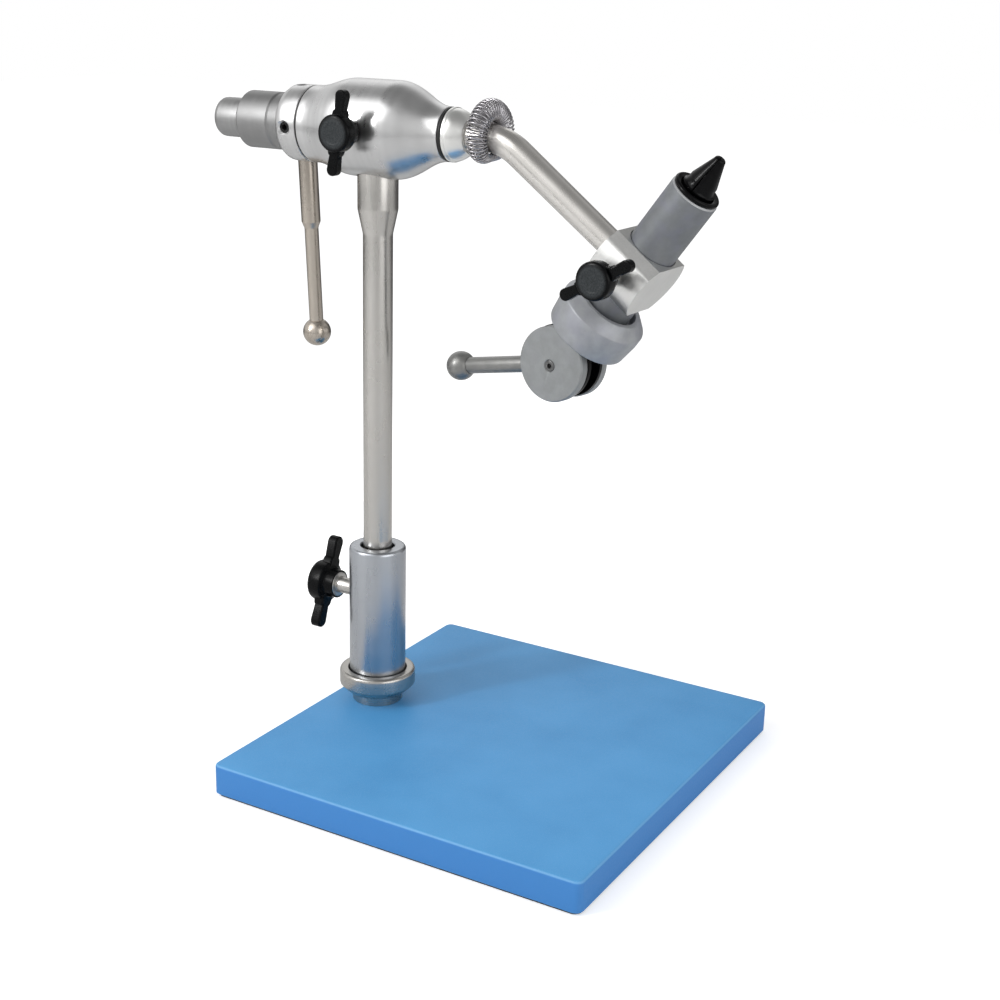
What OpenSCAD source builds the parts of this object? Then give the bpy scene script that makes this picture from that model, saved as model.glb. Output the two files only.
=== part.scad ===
// Rotary fly tying vise on a square-edged pedestal base.
// Origin: middle of the underside of the base pad. +Z is up, +X is the way the jaws point,
// -Y is the side with the drag knob. Sizes are millimetres.

/* [Base] */
// Length of the base plate, along the head
base_l = 152.4; // [120:1:200]
// Width of the base plate, across the head
base_w = 163.2; // [110:1:200]
// Thickness of the steel plate
plate_t = 11.7; // [9:0.5:16]
// Thickness of the non-slip pad under the plate
pad_t = 1; // [0.8:0.1:2]
// Set-back of the pad from the edges of the plate
pad_inset = 2.5; // [1:0.5:6]
// Radius of the plate's vertical corners
corner_r = 3; // [1:0.5:8]
// Bevel round the top edge of the plate
edge_bevel = 1.1; // [0.4:0.1:2]
// Distance of the post's axis from the plate's rear edge
post_inset = 17.3; // [16.5:0.1:30]

/* [Post] */
// Outer diameter of the clamp post
post_d = 22.2; // [20:0.2:28]
// Height of the post's mouth above the table
post_top = 77.5; // [70:0.5:100]
// Diameter of the foot ring
foot_d = 30; // [26:0.5:36]
// Height of the foot ring's rim above its boss
foot_rim = 9.3; // [7:0.1:12]
// Diameter of the boss under the foot ring
boss_d = 19.8; // [17:0.2:24]
// Height of that boss
boss_h = 4; // [2:0.2:6]
// Depth of the recess that takes the post's lower end
foot_recess = 3.5; // [2:0.1:5]
// Diameter of the bolt that holds the post
bolt_d = 8; // [6:0.5:10]
// Height of the post knob above the table
post_knob_z = 57; // [52:0.5:60]

/* [Stem] */
// Diameter of the stem rod
stem_d = 11.1; // [9:0.1:13]
// Diameter of the flared top of the stem
stem_head_d = 15; // [13:0.2:18]
// Length of the flared top's straight part
stem_head_l = 10; // [6:0.5:14]
// Length of the taper below it
stem_taper_l = 9; // [5:0.5:14]
// Height of the stem's lower end at rest
stem_foot_z = 40; // [38:0.5:44]
// Diameter of the pivot tenon in the housing
tenon_d = 10; // [8:0.2:12]
// Height of that tenon
tenon_h = 7; // [5:0.5:8]

/* [Head] */
// Height of the rotary axis above the table
axis_z = 236.4; // [225:0.5:260]
// Largest diameter of the housing
housing_d = 34.8; // [33:0.2:40]
// Diameter of the housing's rear cylinder
housing_rear_d = 27.8; // [26:0.2:31]
// Diameter of the housing's nose
nose_d = 19.2; // [18.4:0.2:22]
// Length of the housing
housing_l = 57.4; // [54:0.2:62]
// Distance from the stem's axis back to the housing's rear face
housing_back = 26.7; // [24:0.2:30]
// Diameter of the rotor shaft
shaft_d = 12; // [10:0.2:13]
// Outer diameter of the two bushings
bushing_d = 16; // [15:0.2:17]
// Length of each bushing
bushing_l = 12; // [8:0.5:14]
// Thickness of the thrust washer at the rear face
washer_t = 0.6; // [0.4:0.1:1]
// Width of the seal at the nose
seal_w = 1.5; // [1:0.1:2.5]

/* [Rotor] */
// Length of the crank collar
collar_l = 10; // [9:0.2:14]
// Diameter of the crank collar
collar_d = 27.8; // [26:0.2:31]
// Length of the rear sleeve
sleeve_l = 20.4; // [16:0.2:26]
// Diameter of the rear sleeve
sleeve_d = 21; // [19:0.2:24]
// Length of the end cap that shows
cap_l = 12.8; // [9:0.2:16]
// Diameter of the end cap
cap_d = 14.6; // [13:0.2:18]
// Length of the nose hub
hub_l = 7; // [6:0.2:10]
// Diameter of the nose hub's front end
hub_front_d = 12.6; // [11.8:0.2:15]
// Length of the crank from the axis to the middle of its ball
crank_length = 79.6; // [60:0.2:90]
// Diameter of the crank's thick part
crank_thick_d = 7.2; // [6:0.1:8]
// Length of the thick part from the axis
crank_thick_length = 39; // [30:0.5:50]
// Diameter of the crank's thin part
crank_thin_d = 5.3; // [4:0.1:6]
// Diameter of the ball on the crank
crank_ball_d = 10.8; // [8:0.1:13]
// Turn of the whole rotor at rest: the crank and arm hang this far away from the drag knob's side
rotor_turn = 4; // [0:0.5:20]

/* [Arm] */
// Angle of the bent arm below the axis
arm_drop = 38; // [36.6:0.2:42]
// Diameter of the arm at its bend
arm_d = 10; // [9:0.1:11]
// Diameter of the arm at the clamp block
arm_end_d = 9.6; // [8.4:0.1:10]
// Radius of the bend
arm_bend_r = 22; // [20:0.5:23]
// Place of the bend's corner ahead of the nose hub
arm_ahead = 13.3; // [12.8:0.1:15]

/* [Material spring] */
// Curls round the spring
spring_curls = 34; // [24:1:36]
// Diameter of the spring's wire
spring_wire_d = 0.55; // [0.4:0.01:0.56]
// Outer diameter of one curl at the top of the spring
spring_curl_d = 8; // [6:0.1:8.4]
// Outer diameter of one curl at the bottom of the spring
spring_join_d = 3; // [2.6:0.1:5]
// Middle of the spring behind the bend's corner
spring_back = 5.6; // [5:0.1:5.8]

/* [Jaws] */
// Length from the arm's corner to below the jaws' tip
tip_length = 80.8; // [80:0.2:81.8]
// Drop of the tip below the rotary axis, so that a hook's shank lies on the axis
tip_drop = 0.6; // [0:0.1:3]
// Angle of the jaw barrel above the axis
jaw_tilt = 53.4; // [52:0.2:55]
// Diameter of the jaw barrel
barrel_d = 17.5; // [16.6:0.1:18]
// Distance of the barrel's upper end from the jaws' tip
barrel_top = 14.6; // [13:0.1:16]
// Distance of the barrel's lower end from the jaws' tip
barrel_end = 74; // [73:0.2:75]
// Diameter of the black nose rim
rim_d = 17; // [16.6:0.1:18]
// Width of the jaws across their tip
jaw_tip_d = 3.3; // [2.6:0.1:4]
// Width of the jaws where the cone flares
jaw_waist_d = 9.6; // [8:0.1:10.4]
// Width of the slit between the jaws
slit_w = 0.35; // [0.2:0.05:0.6]
// Diameter of the drawbar
drawbar_d = 6; // [5:0.1:6.4]

/* [Clamp block] */
// Diameter of the round bar that the block is cut from
block_d = 26; // [25:0.2:27]
// Length of the block on the arm's side of the barrel
block_back = 10.4; // [10:0.2:12]
// Length of the block on the other side of the barrel
block_front = 10.1; // [9.6:0.2:11]
// Distance of the bar's middle from the jaws' tip
block_mid = 48.6; // [48:0.2:49.2]
// Distance of the top flat from the bar's middle
block_top_flat = 9.3; // [8.6:0.1:9.6]
// Distance of the bottom flat from the bar's middle
block_low_flat = 10.8; // [9.8:0.1:11]
// Distance of the slanted flat from the bar's middle
block_slant_flat = 12.2; // [11.6:0.1:12.4]
// Slope of the slanted flat's normal
block_slant = 42; // [38:1:50]
// Turn of the block about the barrel
block_turn = 5.4; // [0:0.2:6]
// Shift of the bar's middle towards its knob
block_shift = 1.5; // [0:0.1:1.8]

/* [Tension ring] */
// Diameter of the tension ring
ring_d = 31.8; // [30:0.2:34]
// Thickness of the tension ring
ring_t = 15.4; // [15:0.2:15.8]
// Distance of the ring's upper face from the jaws' tip
ring_top = 65.3; // [64.9:0.1:65.8]

/* [Cam lever] */
// Distance of the cam's pivot from the jaws' tip
cam_pivot = 95.9; // [95.2:0.1:96.4]
// Diameter of the cam discs
disc_d = 27; // [24:0.1:27]
// Thickness of each disc
disc_t = 3.6; // [3:0.1:5]
// Width of the black cam between the discs
cam_w = 8.8; // [8.2:0.1:12]
// Throw of the cam
cam_throw = 1.5; // [1:0.1:2]
// Turn of the cam about the barrel
cam_turn = 9; // [0:0.5:12]
// Shift of the cam's pivot from the barrel's axis towards the head
cam_shift = 0.9; // [0:0.1:1.4]
// Angle of the lever below the horizontal
lever_drop = 10.6; // [6:0.2:14]
// Diameter of the lever rod
lever_d = 6.1; // [5:0.1:6.4]
// Length of the lever from the cam's edge to the middle of its ball
lever_reach = 33.2; // [24:0.2:38]
// Diameter of the ball on the lever
lever_ball_d = 10.9; // [9:0.1:13]

/* [Wing knobs] */
// Diameter of the hub of the head and block knobs
knob_hub_d = 13.2; // [11:0.2:14]
// Span of the wings of those knobs
knob_span = 30; // [26:0.5:34]
// Width of a wing
wing_w = 3.6; // [3:0.1:5]
// Thickness of a wing
wing_t = 2.6; // [2:0.1:3.4]
// Size of the post knob against the other two
post_knob_scale_share = 1.24; // [1.1:0.02:1.3]

/* [Hidden] */
$fn = 64;

// Clearances: a fixed fit, a running fit (both on the radius), a gap between moving faces
fit = 0.03;
run = 0.05;
face_gap = 0.3;
// How far a cut runs past the face that it opens
over = 1;
full_turn = 360;

// Places along the rotary axis
stem_x = -base_l / 2 + post_inset;
housing_rear_x = stem_x - housing_back;
housing_front_x = housing_rear_x + housing_l;
collar_x = housing_rear_x - washer_t;
sleeve_x = collar_x - collar_l;
cap_x = sleeve_x - sleeve_l;
hub_x = housing_front_x + seal_w + 2 * run;
corner_x = hub_x + hub_l + arm_ahead;
tip_x = corner_x + tip_length;

// Base and post
bolt_head_share = 1.6;
bolt_depth_share = 0.7;
bolt_key_share = 0.75;
bolt_head_d = bolt_head_share * bolt_d;
bolt_head_h = bolt_depth_share * bolt_d;
bolt_room = 0.5;
foot_top = pad_t + plate_t + boss_h + foot_rim;
post_foot_z = foot_top - foot_recess;
bolt_reach = 5;
bolt_gap = 1;
stem_floor_z = post_foot_z + bolt_reach + bolt_gap;
foot_edge = 1.6;
foot_bevel = 3.2;
foot_lip_gap = 0.5;
post_edge = 1.2;
mouth_bevel = 2.2;

// Stem
saddle = 1.3;
stem_top_z = axis_z - housing_d / 2 - saddle;
stem_edge = 0.8;

// Housing
shoulder_from = 1.6;
shoulder_to = 18.6;
nose_from = 35.6;
curve_steps = 14;

// Shaft and rotor
shaft_tail_d = 10;
spigot_d = 7;
spigot_l = 16;
hub_lip = 1.3;
hub_seat = 4.4;
hub_curve_share = 1.6;
washer_inset = 0.7;
collar_round = 2.2;
socket_d = 4;
socket_key_d = 2.4;
socket_key_l = 1.8;
socket_sink = 1.1;
crank_seat = 4;
crank_step = 2.4;
sleeve_bevel = 1.2;
sleeve_band = 6;
band_depth = 0.4;
cap_round = 1.6;
cap_spigot_d = 12;
cap_spigot_l = 3;
ball_seat_share = 0.25;

// Arm
arm_seat = 1.1;
arm_tip_l = 3;
// The bend is drawn a hair thinner than the straight parts, which lap over its ends
bend_thin = 0.04;
bend_lap = 0.1;
arm_across = tip_length * sin(jaw_tilt) + tip_drop * cos(jaw_tilt);
arm_l = (arm_across - block_back + arm_seat) / sin(jaw_tilt + arm_drop);
arm_tangent = arm_bend_r * tan(arm_drop / 2);

// Material spring: the ring's middle line and the curl both draw in towards the join
spring_x = corner_x - spring_back;
spring_seat = 0.4;
// How sharply the curls draw in towards the join
spring_draw_share = 4;
spring_rings = 8;
spring_sides = 6;
spring_inner_r = arm_d / 2 + spring_seat;

// Jaws
rim_lip = 1.7;
rim_spigot = 2.4;
rim_wall = 0.75;
rim_hole_d = 13.3;
jaw_bore_d = 12.6;
jaw_root_d = 11.2;
jaw_flare_d = 12.2;
jaw_waist_share = 0.657;
jaw_flare_share = 0.2;
flare_steps = 5;
barrel_lip = 0.5;
jaw_root = 23.9;
jaw_collar_l = 3;
spring_room = 16.4;
tip_round = 0.7;
jaw_collar_gap = 0.4;
spring_gap = 0.3;
shoulder_s = jaw_root + jaw_collar_gap + jaw_collar_l + 2 * spring_gap + spring_room;

// Tension ring
ring_bore_d = 20.6;
ring_recess = 3.8;
ring_bevel_share = 0.25;
ring_edge = 0.9;
ring_taper = 8;
ring_end = ring_top + ring_t;

// Cam
cam_gap = 0.3;
disc_throw = 0.8;
cam_r = cam_pivot - ring_end - cam_gap - cam_throw;
eye_d = 9;
eye_t = 5;
slot_side = 0.2;
slot_reach = drawbar_d / 2 + cam_shift + 2 * slot_side;
pin_d = 4;
lever_seat = 5;
lever_length = cam_r + lever_reach;
disc_bevel = 0.5;
lever_angle = 180 + lever_drop + 90 - jaw_tilt;

// Wing knob: hub, dome, boss
knob_depth = 9.6;
hub_h = 4.2;
knob_dome = 0.3;
knob_flat_share = 0.6;
knob_edge = 0.8;
boss_top_share = 0.72;
boss_low_share = 0.66;
wing_root_share = 1.25;
wing_sink = 1.2;
screw_d = 5.8;
screw_sink = 3;
drag_knob_turn = 81.3;
post_knob_turn = 22;
block_knob_turn = 64.7;
block_knob_low = 2;
block_knob_in = 1;
block_knob_stand = 2;
block_shoe_l = 2;
post_insert_d = 9.8;
post_screw_d = 7.8;
post_insert_gap = 0.3;
post_insert_l = 7.6;
shoe_l = 3.4;
post_sink = 2.6;

// Faces of the knobs, measured from the axes of the pieces that they clamp
drag_face = housing_d / 2 + face_gap + knob_depth;
post_depth = knob_depth * post_knob_scale_share;
post_face = post_d / 2 + post_insert_gap + post_insert_l + post_depth - post_sink;
block_knob_face = block_shift + block_d / 2 + block_knob_stand + knob_depth;

// Smooth step from 0 to 1
function ease(t) = (1 - cos(180 * t)) / 2;
// Points of a quarter circle from angle a to angle b
function arc(cx, cy, r, a, b, n = 6) = [for (i = [0:n]) let (t = a + (b - a) * i / n)
    [cx + r * cos(t), cy + r * sin(t)]];

// Local +Z along the rotary axis, starting at place x
module on_axis(x) translate([x, 0, axis_z]) rotate([0, 90, 0]) children();
// The rotor's own frame, turned with it, with its origin on the rotary axis
module on_rotor() translate([0, 0, axis_z]) rotate([rotor_turn, 0, 0]) children();
// Local +Z along the jaw barrel towards the tip, local +X away from the head, origin at the tip
module on_jaw(turn = 0) on_rotor() translate([tip_x, 0, -tip_drop]) rotate([0, 90 - jaw_tilt, 0])
    rotate([0, 0, -turn]) children();
// Local +Z towards the drag knob's side
module to_side() rotate([90, 0, 0]) children();
// Round bar with a bore, from z0 to z1
module bush(d_out, d_in, z0, z1) translate([0, 0, z0]) difference() {
    cylinder(d = d_out, h = z1 - z0);
    translate([0, 0, -over]) cylinder(d = d_in, h = z1 - z0 + 2 * over);
}
module bar(d, z0, z1) translate([0, 0, z0]) cylinder(d = d, h = z1 - z0);

// Base

module base_outline(l, w, r) {
    square([l - 2 * r, w], center = true);
    square([l, w - 2 * r], center = true);
    for (sx = [-1, 1], sy = [-1, 1]) translate([sx * (l / 2 - r), sy * (w / 2 - r)]) circle(r = r);
}
module bevelled(l, h, e) {
    x = l / 2;
    polygon([[-x, 0], [x, 0], [x, h - e], [x - e, h], [-x + e, h], [-x, h - e]]);
}
// A bevelled section drawn out far enough to trim a plate of width w
module trim(l, w) linear_extrude(w + 2 * over, center = true) bevelled(l, plate_t, edge_bevel);

module base_plate() color("steelblue") translate([0, 0, pad_t]) difference() {
    intersection() {
        linear_extrude(plate_t) base_outline(base_l, base_w, corner_r);
        rotate([90, 0, 0]) trim(base_l, base_w);
        rotate([90, 0, 90]) trim(base_w, base_l);
    }
    translate([stem_x, 0, 0]) {
        bar(bolt_d + 2 * run, -over, plate_t + over);
        bar(bolt_head_d + 2 * bolt_room, -over, bolt_head_h + bolt_room);
    }
}
module base_pad() color("dimgray") difference() {
    linear_extrude(pad_t) base_outline(base_l - 2 * pad_inset, base_w - 2 * pad_inset, corner_r);
    translate([stem_x, 0, 0]) bar(bolt_head_d + 4 * bolt_room, -over, pad_t + over);
}
module post_bolt() color("silver") translate([stem_x, 0, pad_t + bolt_room]) difference() {
    union() {
        bar(bolt_head_d, 0, bolt_head_h);
        bar(bolt_d, 0, post_foot_z + bolt_reach - pad_t - bolt_room);
    }
    translate([0, 0, -over]) cylinder(d = bolt_key_share * bolt_d, h = bolt_head_h / 2 + over, $fn = 6);
}

// Post and stem

module foot_ring() color("darkgray") translate([stem_x, 0, 0]) rotate_extrude() {
    z0 = pad_t + plate_t;
    z1 = z0 + boss_h;
    r = foot_d / 2;
    rb = bolt_d / 2 + run;
    rp = post_d / 2 + foot_lip_gap;
    polygon(concat(
        [[rb, z0], [boss_d / 2, z0], [boss_d / 2, z1], [r - foot_bevel, z1], [r, z1 + foot_bevel]],
        arc(r - foot_edge, foot_top - foot_edge, foot_edge, 0, 90),
        [[rp, foot_top], [rp, post_foot_z], [rb, post_foot_z]]
    ));
}
module post() color("silver") translate([stem_x, 0, 0]) difference() {
    rotate_extrude() {
        r = post_d / 2;
        b = stem_d / 2 + run;
        polygon(concat(
            [[bolt_d / 2 + run, post_foot_z], [r, post_foot_z]],
            arc(r - post_edge, post_top - post_edge, post_edge, 0, 90),
            [[b + mouth_bevel, post_top], [b, post_top - mouth_bevel], [b, stem_floor_z],
             [bolt_d / 2 + run, stem_floor_z]]
        ));
    }
    translate([0, 0, post_knob_z]) rotate([0, -90, 0]) bar(post_screw_d + 2 * run, 0, post_d);
}
module stem() color("gainsboro") translate([stem_x, 0, 0]) rotate_extrude() {
    r = stem_d / 2;
    h = stem_head_d / 2;
    z_head = stem_top_z - stem_head_l;
    polygon([
        [0, stem_foot_z], [r - stem_edge, stem_foot_z], [r, stem_foot_z + stem_edge],
        [r, z_head - stem_taper_l], [h, z_head], [h, stem_top_z],
        [tenon_d / 2, stem_top_z], [tenon_d / 2, stem_top_z + tenon_h], [0, stem_top_z + tenon_h]
    ]);
}

// Wing knobs: local +Z points away from the object, the face is at zero

module wing_knob() difference() {
    union() {
        rotate_extrude() {
            r = knob_hub_d / 2;
            polygon(concat(
                [[0, 0], [knob_flat_share * r, -knob_dome / 3]],
                arc(r - knob_edge, -knob_dome - knob_edge, knob_edge, 90, 0),
                [[r, -hub_h], [boss_top_share * r, -hub_h - knob_edge]],
                [[boss_low_share * r, -knob_depth], [0, -knob_depth]]
            ));
        }
        for (side = [0, 180])
            rotate([0, 0, side]) translate([0, 0, -wing_t - wing_sink]) linear_extrude(wing_t) {
            tip = knob_span / 2 - wing_w / 2;
            root = wing_root_share * wing_w / 2;
            polygon([[0, -root], [tip, -wing_w / 2], [tip, wing_w / 2], [0, root]]);
            translate([tip, 0]) circle(d = wing_w);
        }
    }
    bar(screw_d + 2 * fit, -knob_depth - over, -screw_sink);
}

module drag_place() translate([stem_x, 0, axis_z]) to_side() children();
module drag_knob() color("#1c1e20") drag_place()
    translate([0, 0, drag_face]) rotate([0, 0, drag_knob_turn]) wing_knob();
module drag_screw() color("silver") drag_place()
    bar(screw_d, shaft_d / 2 + shoe_l + 2 * run, drag_face - screw_sink - fit);
module drag_shoe() color("ivory") drag_place() bar(screw_d, shaft_d / 2 + run, shaft_d / 2 + run + shoe_l);

module post_knob_place() translate([stem_x, 0, post_knob_z]) rotate([0, -90, 0]) children();
module post_knob() color("#1c1e20") post_knob_place()
    translate([0, 0, post_face]) rotate([0, 0, post_knob_turn]) difference() {
        scale(post_knob_scale_share) wing_knob();
        bar(post_insert_d + 2 * fit, -post_depth - over, -post_depth + post_sink + fit);
    }
module post_knob_screw() color("silver") post_knob_place() {
    z0 = post_d / 2 + post_insert_gap;
    bar(post_screw_d, stem_d / 2 + 2 * run, z0 + post_insert_l / 2);
    bar(post_insert_d, z0, z0 + post_insert_l);
    bar(screw_d * post_knob_scale_share, z0, post_face - screw_sink * post_knob_scale_share - fit);
}

// Head

module housing() color("lightgray") difference() {
    union() {
        on_axis(housing_rear_x) rotate_extrude() {
            rr = housing_rear_d / 2;
            rh = housing_d / 2;
            rn = nose_d / 2;
            polygon(concat(
                [[0, 0], [rr, 0]],
                [for (i = [0:curve_steps]) let (t = i / curve_steps)
                    [rr + (rh - rr) * ease(t), shoulder_from + (shoulder_to - shoulder_from) * t]],
                [for (i = [0:curve_steps]) let (t = i / curve_steps)
                    [rh + (rn - rh) * ease(t), nose_from + (housing_l - nose_from) * t]],
                [[0, housing_l]]
            ));
        }
        translate([stem_x, 0, 0]) bar(stem_head_d, stem_top_z + face_gap, axis_z - bushing_d / 2 - over);
    }
    on_axis(housing_rear_x) bar(bushing_d + 2 * fit, -over, housing_l + over);
    translate([stem_x, 0, stem_top_z]) bar(tenon_d + 2 * run, -over, tenon_h + face_gap);
    drag_place() bar(screw_d + 2 * run, 0, housing_d);
}
module rear_bushing() color("peru") on_axis(housing_rear_x)
    bush(bushing_d, shaft_d + 2 * run, 0, bushing_l);
module front_bushing() color("peru") on_axis(housing_rear_x)
    bush(bushing_d, shaft_d + 2 * run, housing_l - bushing_l, housing_l);
module thrust_washer() color("#2a2a2a") on_axis(collar_x)
    bush(housing_rear_d - washer_inset, shaft_d + 4 * run, run, washer_t - run);
module nose_seal() color("black") on_axis(housing_front_x + run + seal_w / 2)
    rotate_extrude() translate([nose_d / 2 - seal_w / 2, 0]) circle(d = seal_w - 2 * fit);

// Rotor

module rotor_shaft() color("silver") difference() {
    union() {
        on_axis(0) bar(shaft_d, collar_x + run, hub_x + hub_seat);
        on_axis(0) bar(shaft_tail_d, cap_x + cap_spigot_l + run, collar_x + 2 * run);
    }
    on_axis(0) bar(spigot_d + 2 * fit, hub_x + hub_seat - spigot_l - over, hub_x + hub_seat + over);
}
module nose_hub() color("lightgray") on_axis(hub_x) difference() {
    rotate_extrude() {
        r0 = nose_d / 2;
        r1 = hub_front_d / 2;
        polygon(concat(
            [[0, -seal_w], [nose_d / 2 - seal_w, -seal_w], [nose_d / 2 - seal_w, 0], [r0, 0]],
            [for (i = [0:curve_steps]) let (t = i / curve_steps)
                [r0 - (r0 - r1) * pow(t, hub_curve_share), hub_lip + (hub_l - hub_lip) * t]],
            [[0, hub_l]]
        ));
    }
    bar(shaft_d + 2 * fit, -seal_w - over, hub_seat + fit);
    bar(arm_d + 2 * fit, 0, hub_l + over);
}
module bent_arm() color("silver") {
    bend_x = corner_x - arm_tangent;
    on_axis(0) bar(spigot_d, hub_x + hub_seat - spigot_l, hub_x + hub_seat + 2 * fit);
    on_axis(0) bar(arm_d, hub_x + hub_seat + 2 * fit, bend_x + bend_lap);
    on_rotor() translate([bend_x, 0, -arm_bend_r]) rotate([90, 0, 0]) rotate([0, 0, 90 - arm_drop])
        rotate_extrude(angle = arm_drop) translate([arm_bend_r, 0]) circle(d = arm_d - bend_thin);
    arm_place() rotate_extrude() {
        z0 = arm_tangent - bend_lap;
        r1 = arm_end_d / 2;
        polygon([[0, z0], [arm_d / 2, z0], [r1, arm_l - arm_tip_l], [r1, arm_l], [0, arm_l]]);
    }
}

// The spring is one closed wire: it winds round a ring that hangs on the arm.
// share_low is 0 at the top of the ring and 1 at the bottom, where the ends are hooked together.
function share_low(a) = let (t = (1 - cos(a)) / 2) pow(t, spring_draw_share);
function curl_r(a) = (spring_curl_d + (spring_join_d - spring_curl_d) * share_low(a) - spring_wire_d) / 2;
function ring_r(a) = spring_inner_r + spring_wire_d / 2 + curl_r(a);
function wire_point(i) = let (a = full_turn * i / wire_n, w = full_turn * i / spring_rings,
    r = ring_r(a) + curl_r(a) * cos(w)) [curl_r(a) * sin(w), -r * sin(a), r * cos(a)];
wire_n = spring_curls * spring_rings;
wire = [for (i = [0:wire_n - 1]) wire_point(i)];
function unit(v) = v / norm(v);
function wire_ring(i) = let (
    a = full_turn * i / wire_n,
    d = unit(wire[(i + 1) % wire_n] - wire[(i + wire_n - 1) % wire_n]),
    out = wire[i] - [0, -ring_r(a) * sin(a), ring_r(a) * cos(a)],
    n = unit(out - d * (out * d)), b = cross(d, n))
    [for (k = [0:spring_sides - 1]) let (t = full_turn * k / spring_sides)
        wire[i] + spring_wire_d / 2 * (cos(t) * n + sin(t) * b)];
wire_skin = [for (i = [0:wire_n - 1]) each wire_ring(i)];
wire_gap = min([for (i = [0:wire_n - 1], j = [spring_rings - 2:spring_rings + 2])
    norm(wire[i] - wire[(i + j) % wire_n])]) - spring_wire_d;
echo(least_gap_of_the_spring_to_itself_mm = wire_gap);
module material_spring() color("silver") on_rotor() translate([spring_x, 0, 0]) polyhedron(
    points = wire_skin,
    faces = [for (i = [0:wire_n - 1], k = [0:spring_sides - 1]) let (
        p = i * spring_sides, q = ((i + 1) % wire_n) * spring_sides, m = (k + 1) % spring_sides)
        each [[p + k, p + m, q + m], [p + k, q + m, q + k]]]
);

module crank_collar() color("lightgray") difference() {
    on_axis(sleeve_x) rotate_extrude() polygon(concat(
        [[shaft_tail_d / 2 + fit, 0]],
        arc(collar_d / 2 - collar_round, collar_round, collar_round, -90, 0),
        [[collar_d / 2, collar_l], [shaft_tail_d / 2 + fit, collar_l]]
    ));
    collar_place(180) bar(crank_thick_d + 2 * fit, collar_d / 2 - crank_seat, collar_d);
    for (turn = [0, 90]) collar_place(turn) bar(socket_d + 2 * fit, shaft_tail_d / 2 - fit, collar_d);
}
// Local +Z points out of the collar: 0 is up, 90 is the drag knob's side, 180 is the crank
module collar_place(turn) on_rotor() translate([sleeve_x + collar_l / 2, 0, 0])
    rotate([turn, 0, 0]) children();
module collar_screws() color("dimgray") for (turn = [0, 90]) collar_place(turn) difference() {
    z1 = collar_d / 2 - socket_sink;
    bar(socket_d, shaft_tail_d / 2 + fit, z1);
    translate([0, 0, z1 - socket_key_l]) cylinder(d = socket_key_d, h = socket_key_l + over, $fn = 6);
}
module crank_rod() color("silver") collar_place(180) {
    z1 = crank_thick_length - crank_step;
    bar(crank_thick_d, collar_d / 2 - crank_seat + fit, z1);
    translate([0, 0, z1]) cylinder(d1 = crank_thick_d, d2 = crank_thin_d, h = crank_step);
    bar(crank_thin_d, crank_thick_length, crank_length - ball_seat_share * crank_thin_d);
}
module ball(ball_d, rod_d) difference() {
    sphere(d = ball_d);
    bar(rod_d + 2 * fit, -ball_d, -ball_seat_share * rod_d + 2 * fit);
}
module crank_ball() color("silver") collar_place(180)
    translate([0, 0, crank_length]) ball(crank_ball_d, crank_thin_d);
module rear_sleeve() color("lightgray") on_axis(cap_x) difference() {
    rotate_extrude() {
        r = sleeve_d / 2;
        polygon([
            [shaft_tail_d / 2 + fit, 0], [r - sleeve_bevel, 0], [r, sleeve_bevel],
            [r, sleeve_l - sleeve_band], [r - band_depth, sleeve_l - sleeve_band + 2 * band_depth],
            [r, sleeve_l - band_depth], [r, sleeve_l], [shaft_tail_d / 2 + fit, sleeve_l]
        ]);
    }
    bar(cap_spigot_d + 2 * fit, -over, cap_spigot_l);
}
module end_cap() color("darkgray") on_axis(cap_x) {
    rotate_extrude() polygon(concat(
        [[0, -cap_l]],
        arc(cap_d / 2 - cap_round, cap_round - cap_l, cap_round, -90, 0),
        [[cap_d / 2, 0], [0, 0]]
    ));
    bar(cap_spigot_d, -over, cap_spigot_l - fit);
}

// Clamp block: a round bar across the barrel, cut flat above, below and on the slant

module clamp_block() color("gainsboro") difference() {
    z0 = -block_back - over;
    h = block_back + block_front + 2 * over;
    on_jaw(block_turn) translate([0, -block_shift, -block_mid]) rotate([0, 90, 0]) intersection() {
        bar(block_d, -block_back, block_front);
        translate([-block_top_flat, -block_d, z0]) cube([block_top_flat + block_low_flat, 2 * block_d, h]);
        rotate([0, 0, block_slant - 90]) translate([-block_d, -block_slant_flat, z0])
            cube([2 * block_d, 2 * block_d, h]);
    }
    on_jaw() bar(barrel_d + 2 * run, -block_mid - block_d, -block_mid + block_d);
    arm_place() bar(arm_end_d + 2 * fit, arm_l - block_back, arm_l + fit);
    block_knob_place() bar(screw_d + 2 * run, barrel_d / 4, block_d);
}
module arm_place() on_rotor() translate([corner_x, 0, 0]) rotate([0, 90 + arm_drop, 0]) children();
module block_knob_place() on_jaw(block_turn)
    translate([-block_knob_in, 0, -block_mid - block_knob_low]) to_side() children();
module block_knob() color("#1c1e20") block_knob_place()
    translate([0, 0, block_knob_face]) rotate([0, 0, block_knob_turn]) wing_knob();
module block_shoe() color("ivory") difference() {
    block_knob_place() bar(screw_d, 0, barrel_d / 2 + block_shoe_l);
    on_jaw() bar(barrel_d + 2 * run, -block_mid - block_d, -block_mid + block_d);
}
module block_screw() color("silver") block_knob_place()
    bar(screw_d, barrel_d / 2 + block_shoe_l + run, block_knob_face - screw_sink - fit);

// Jaw barrel and jaws, drawn downwards from the tip

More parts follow.
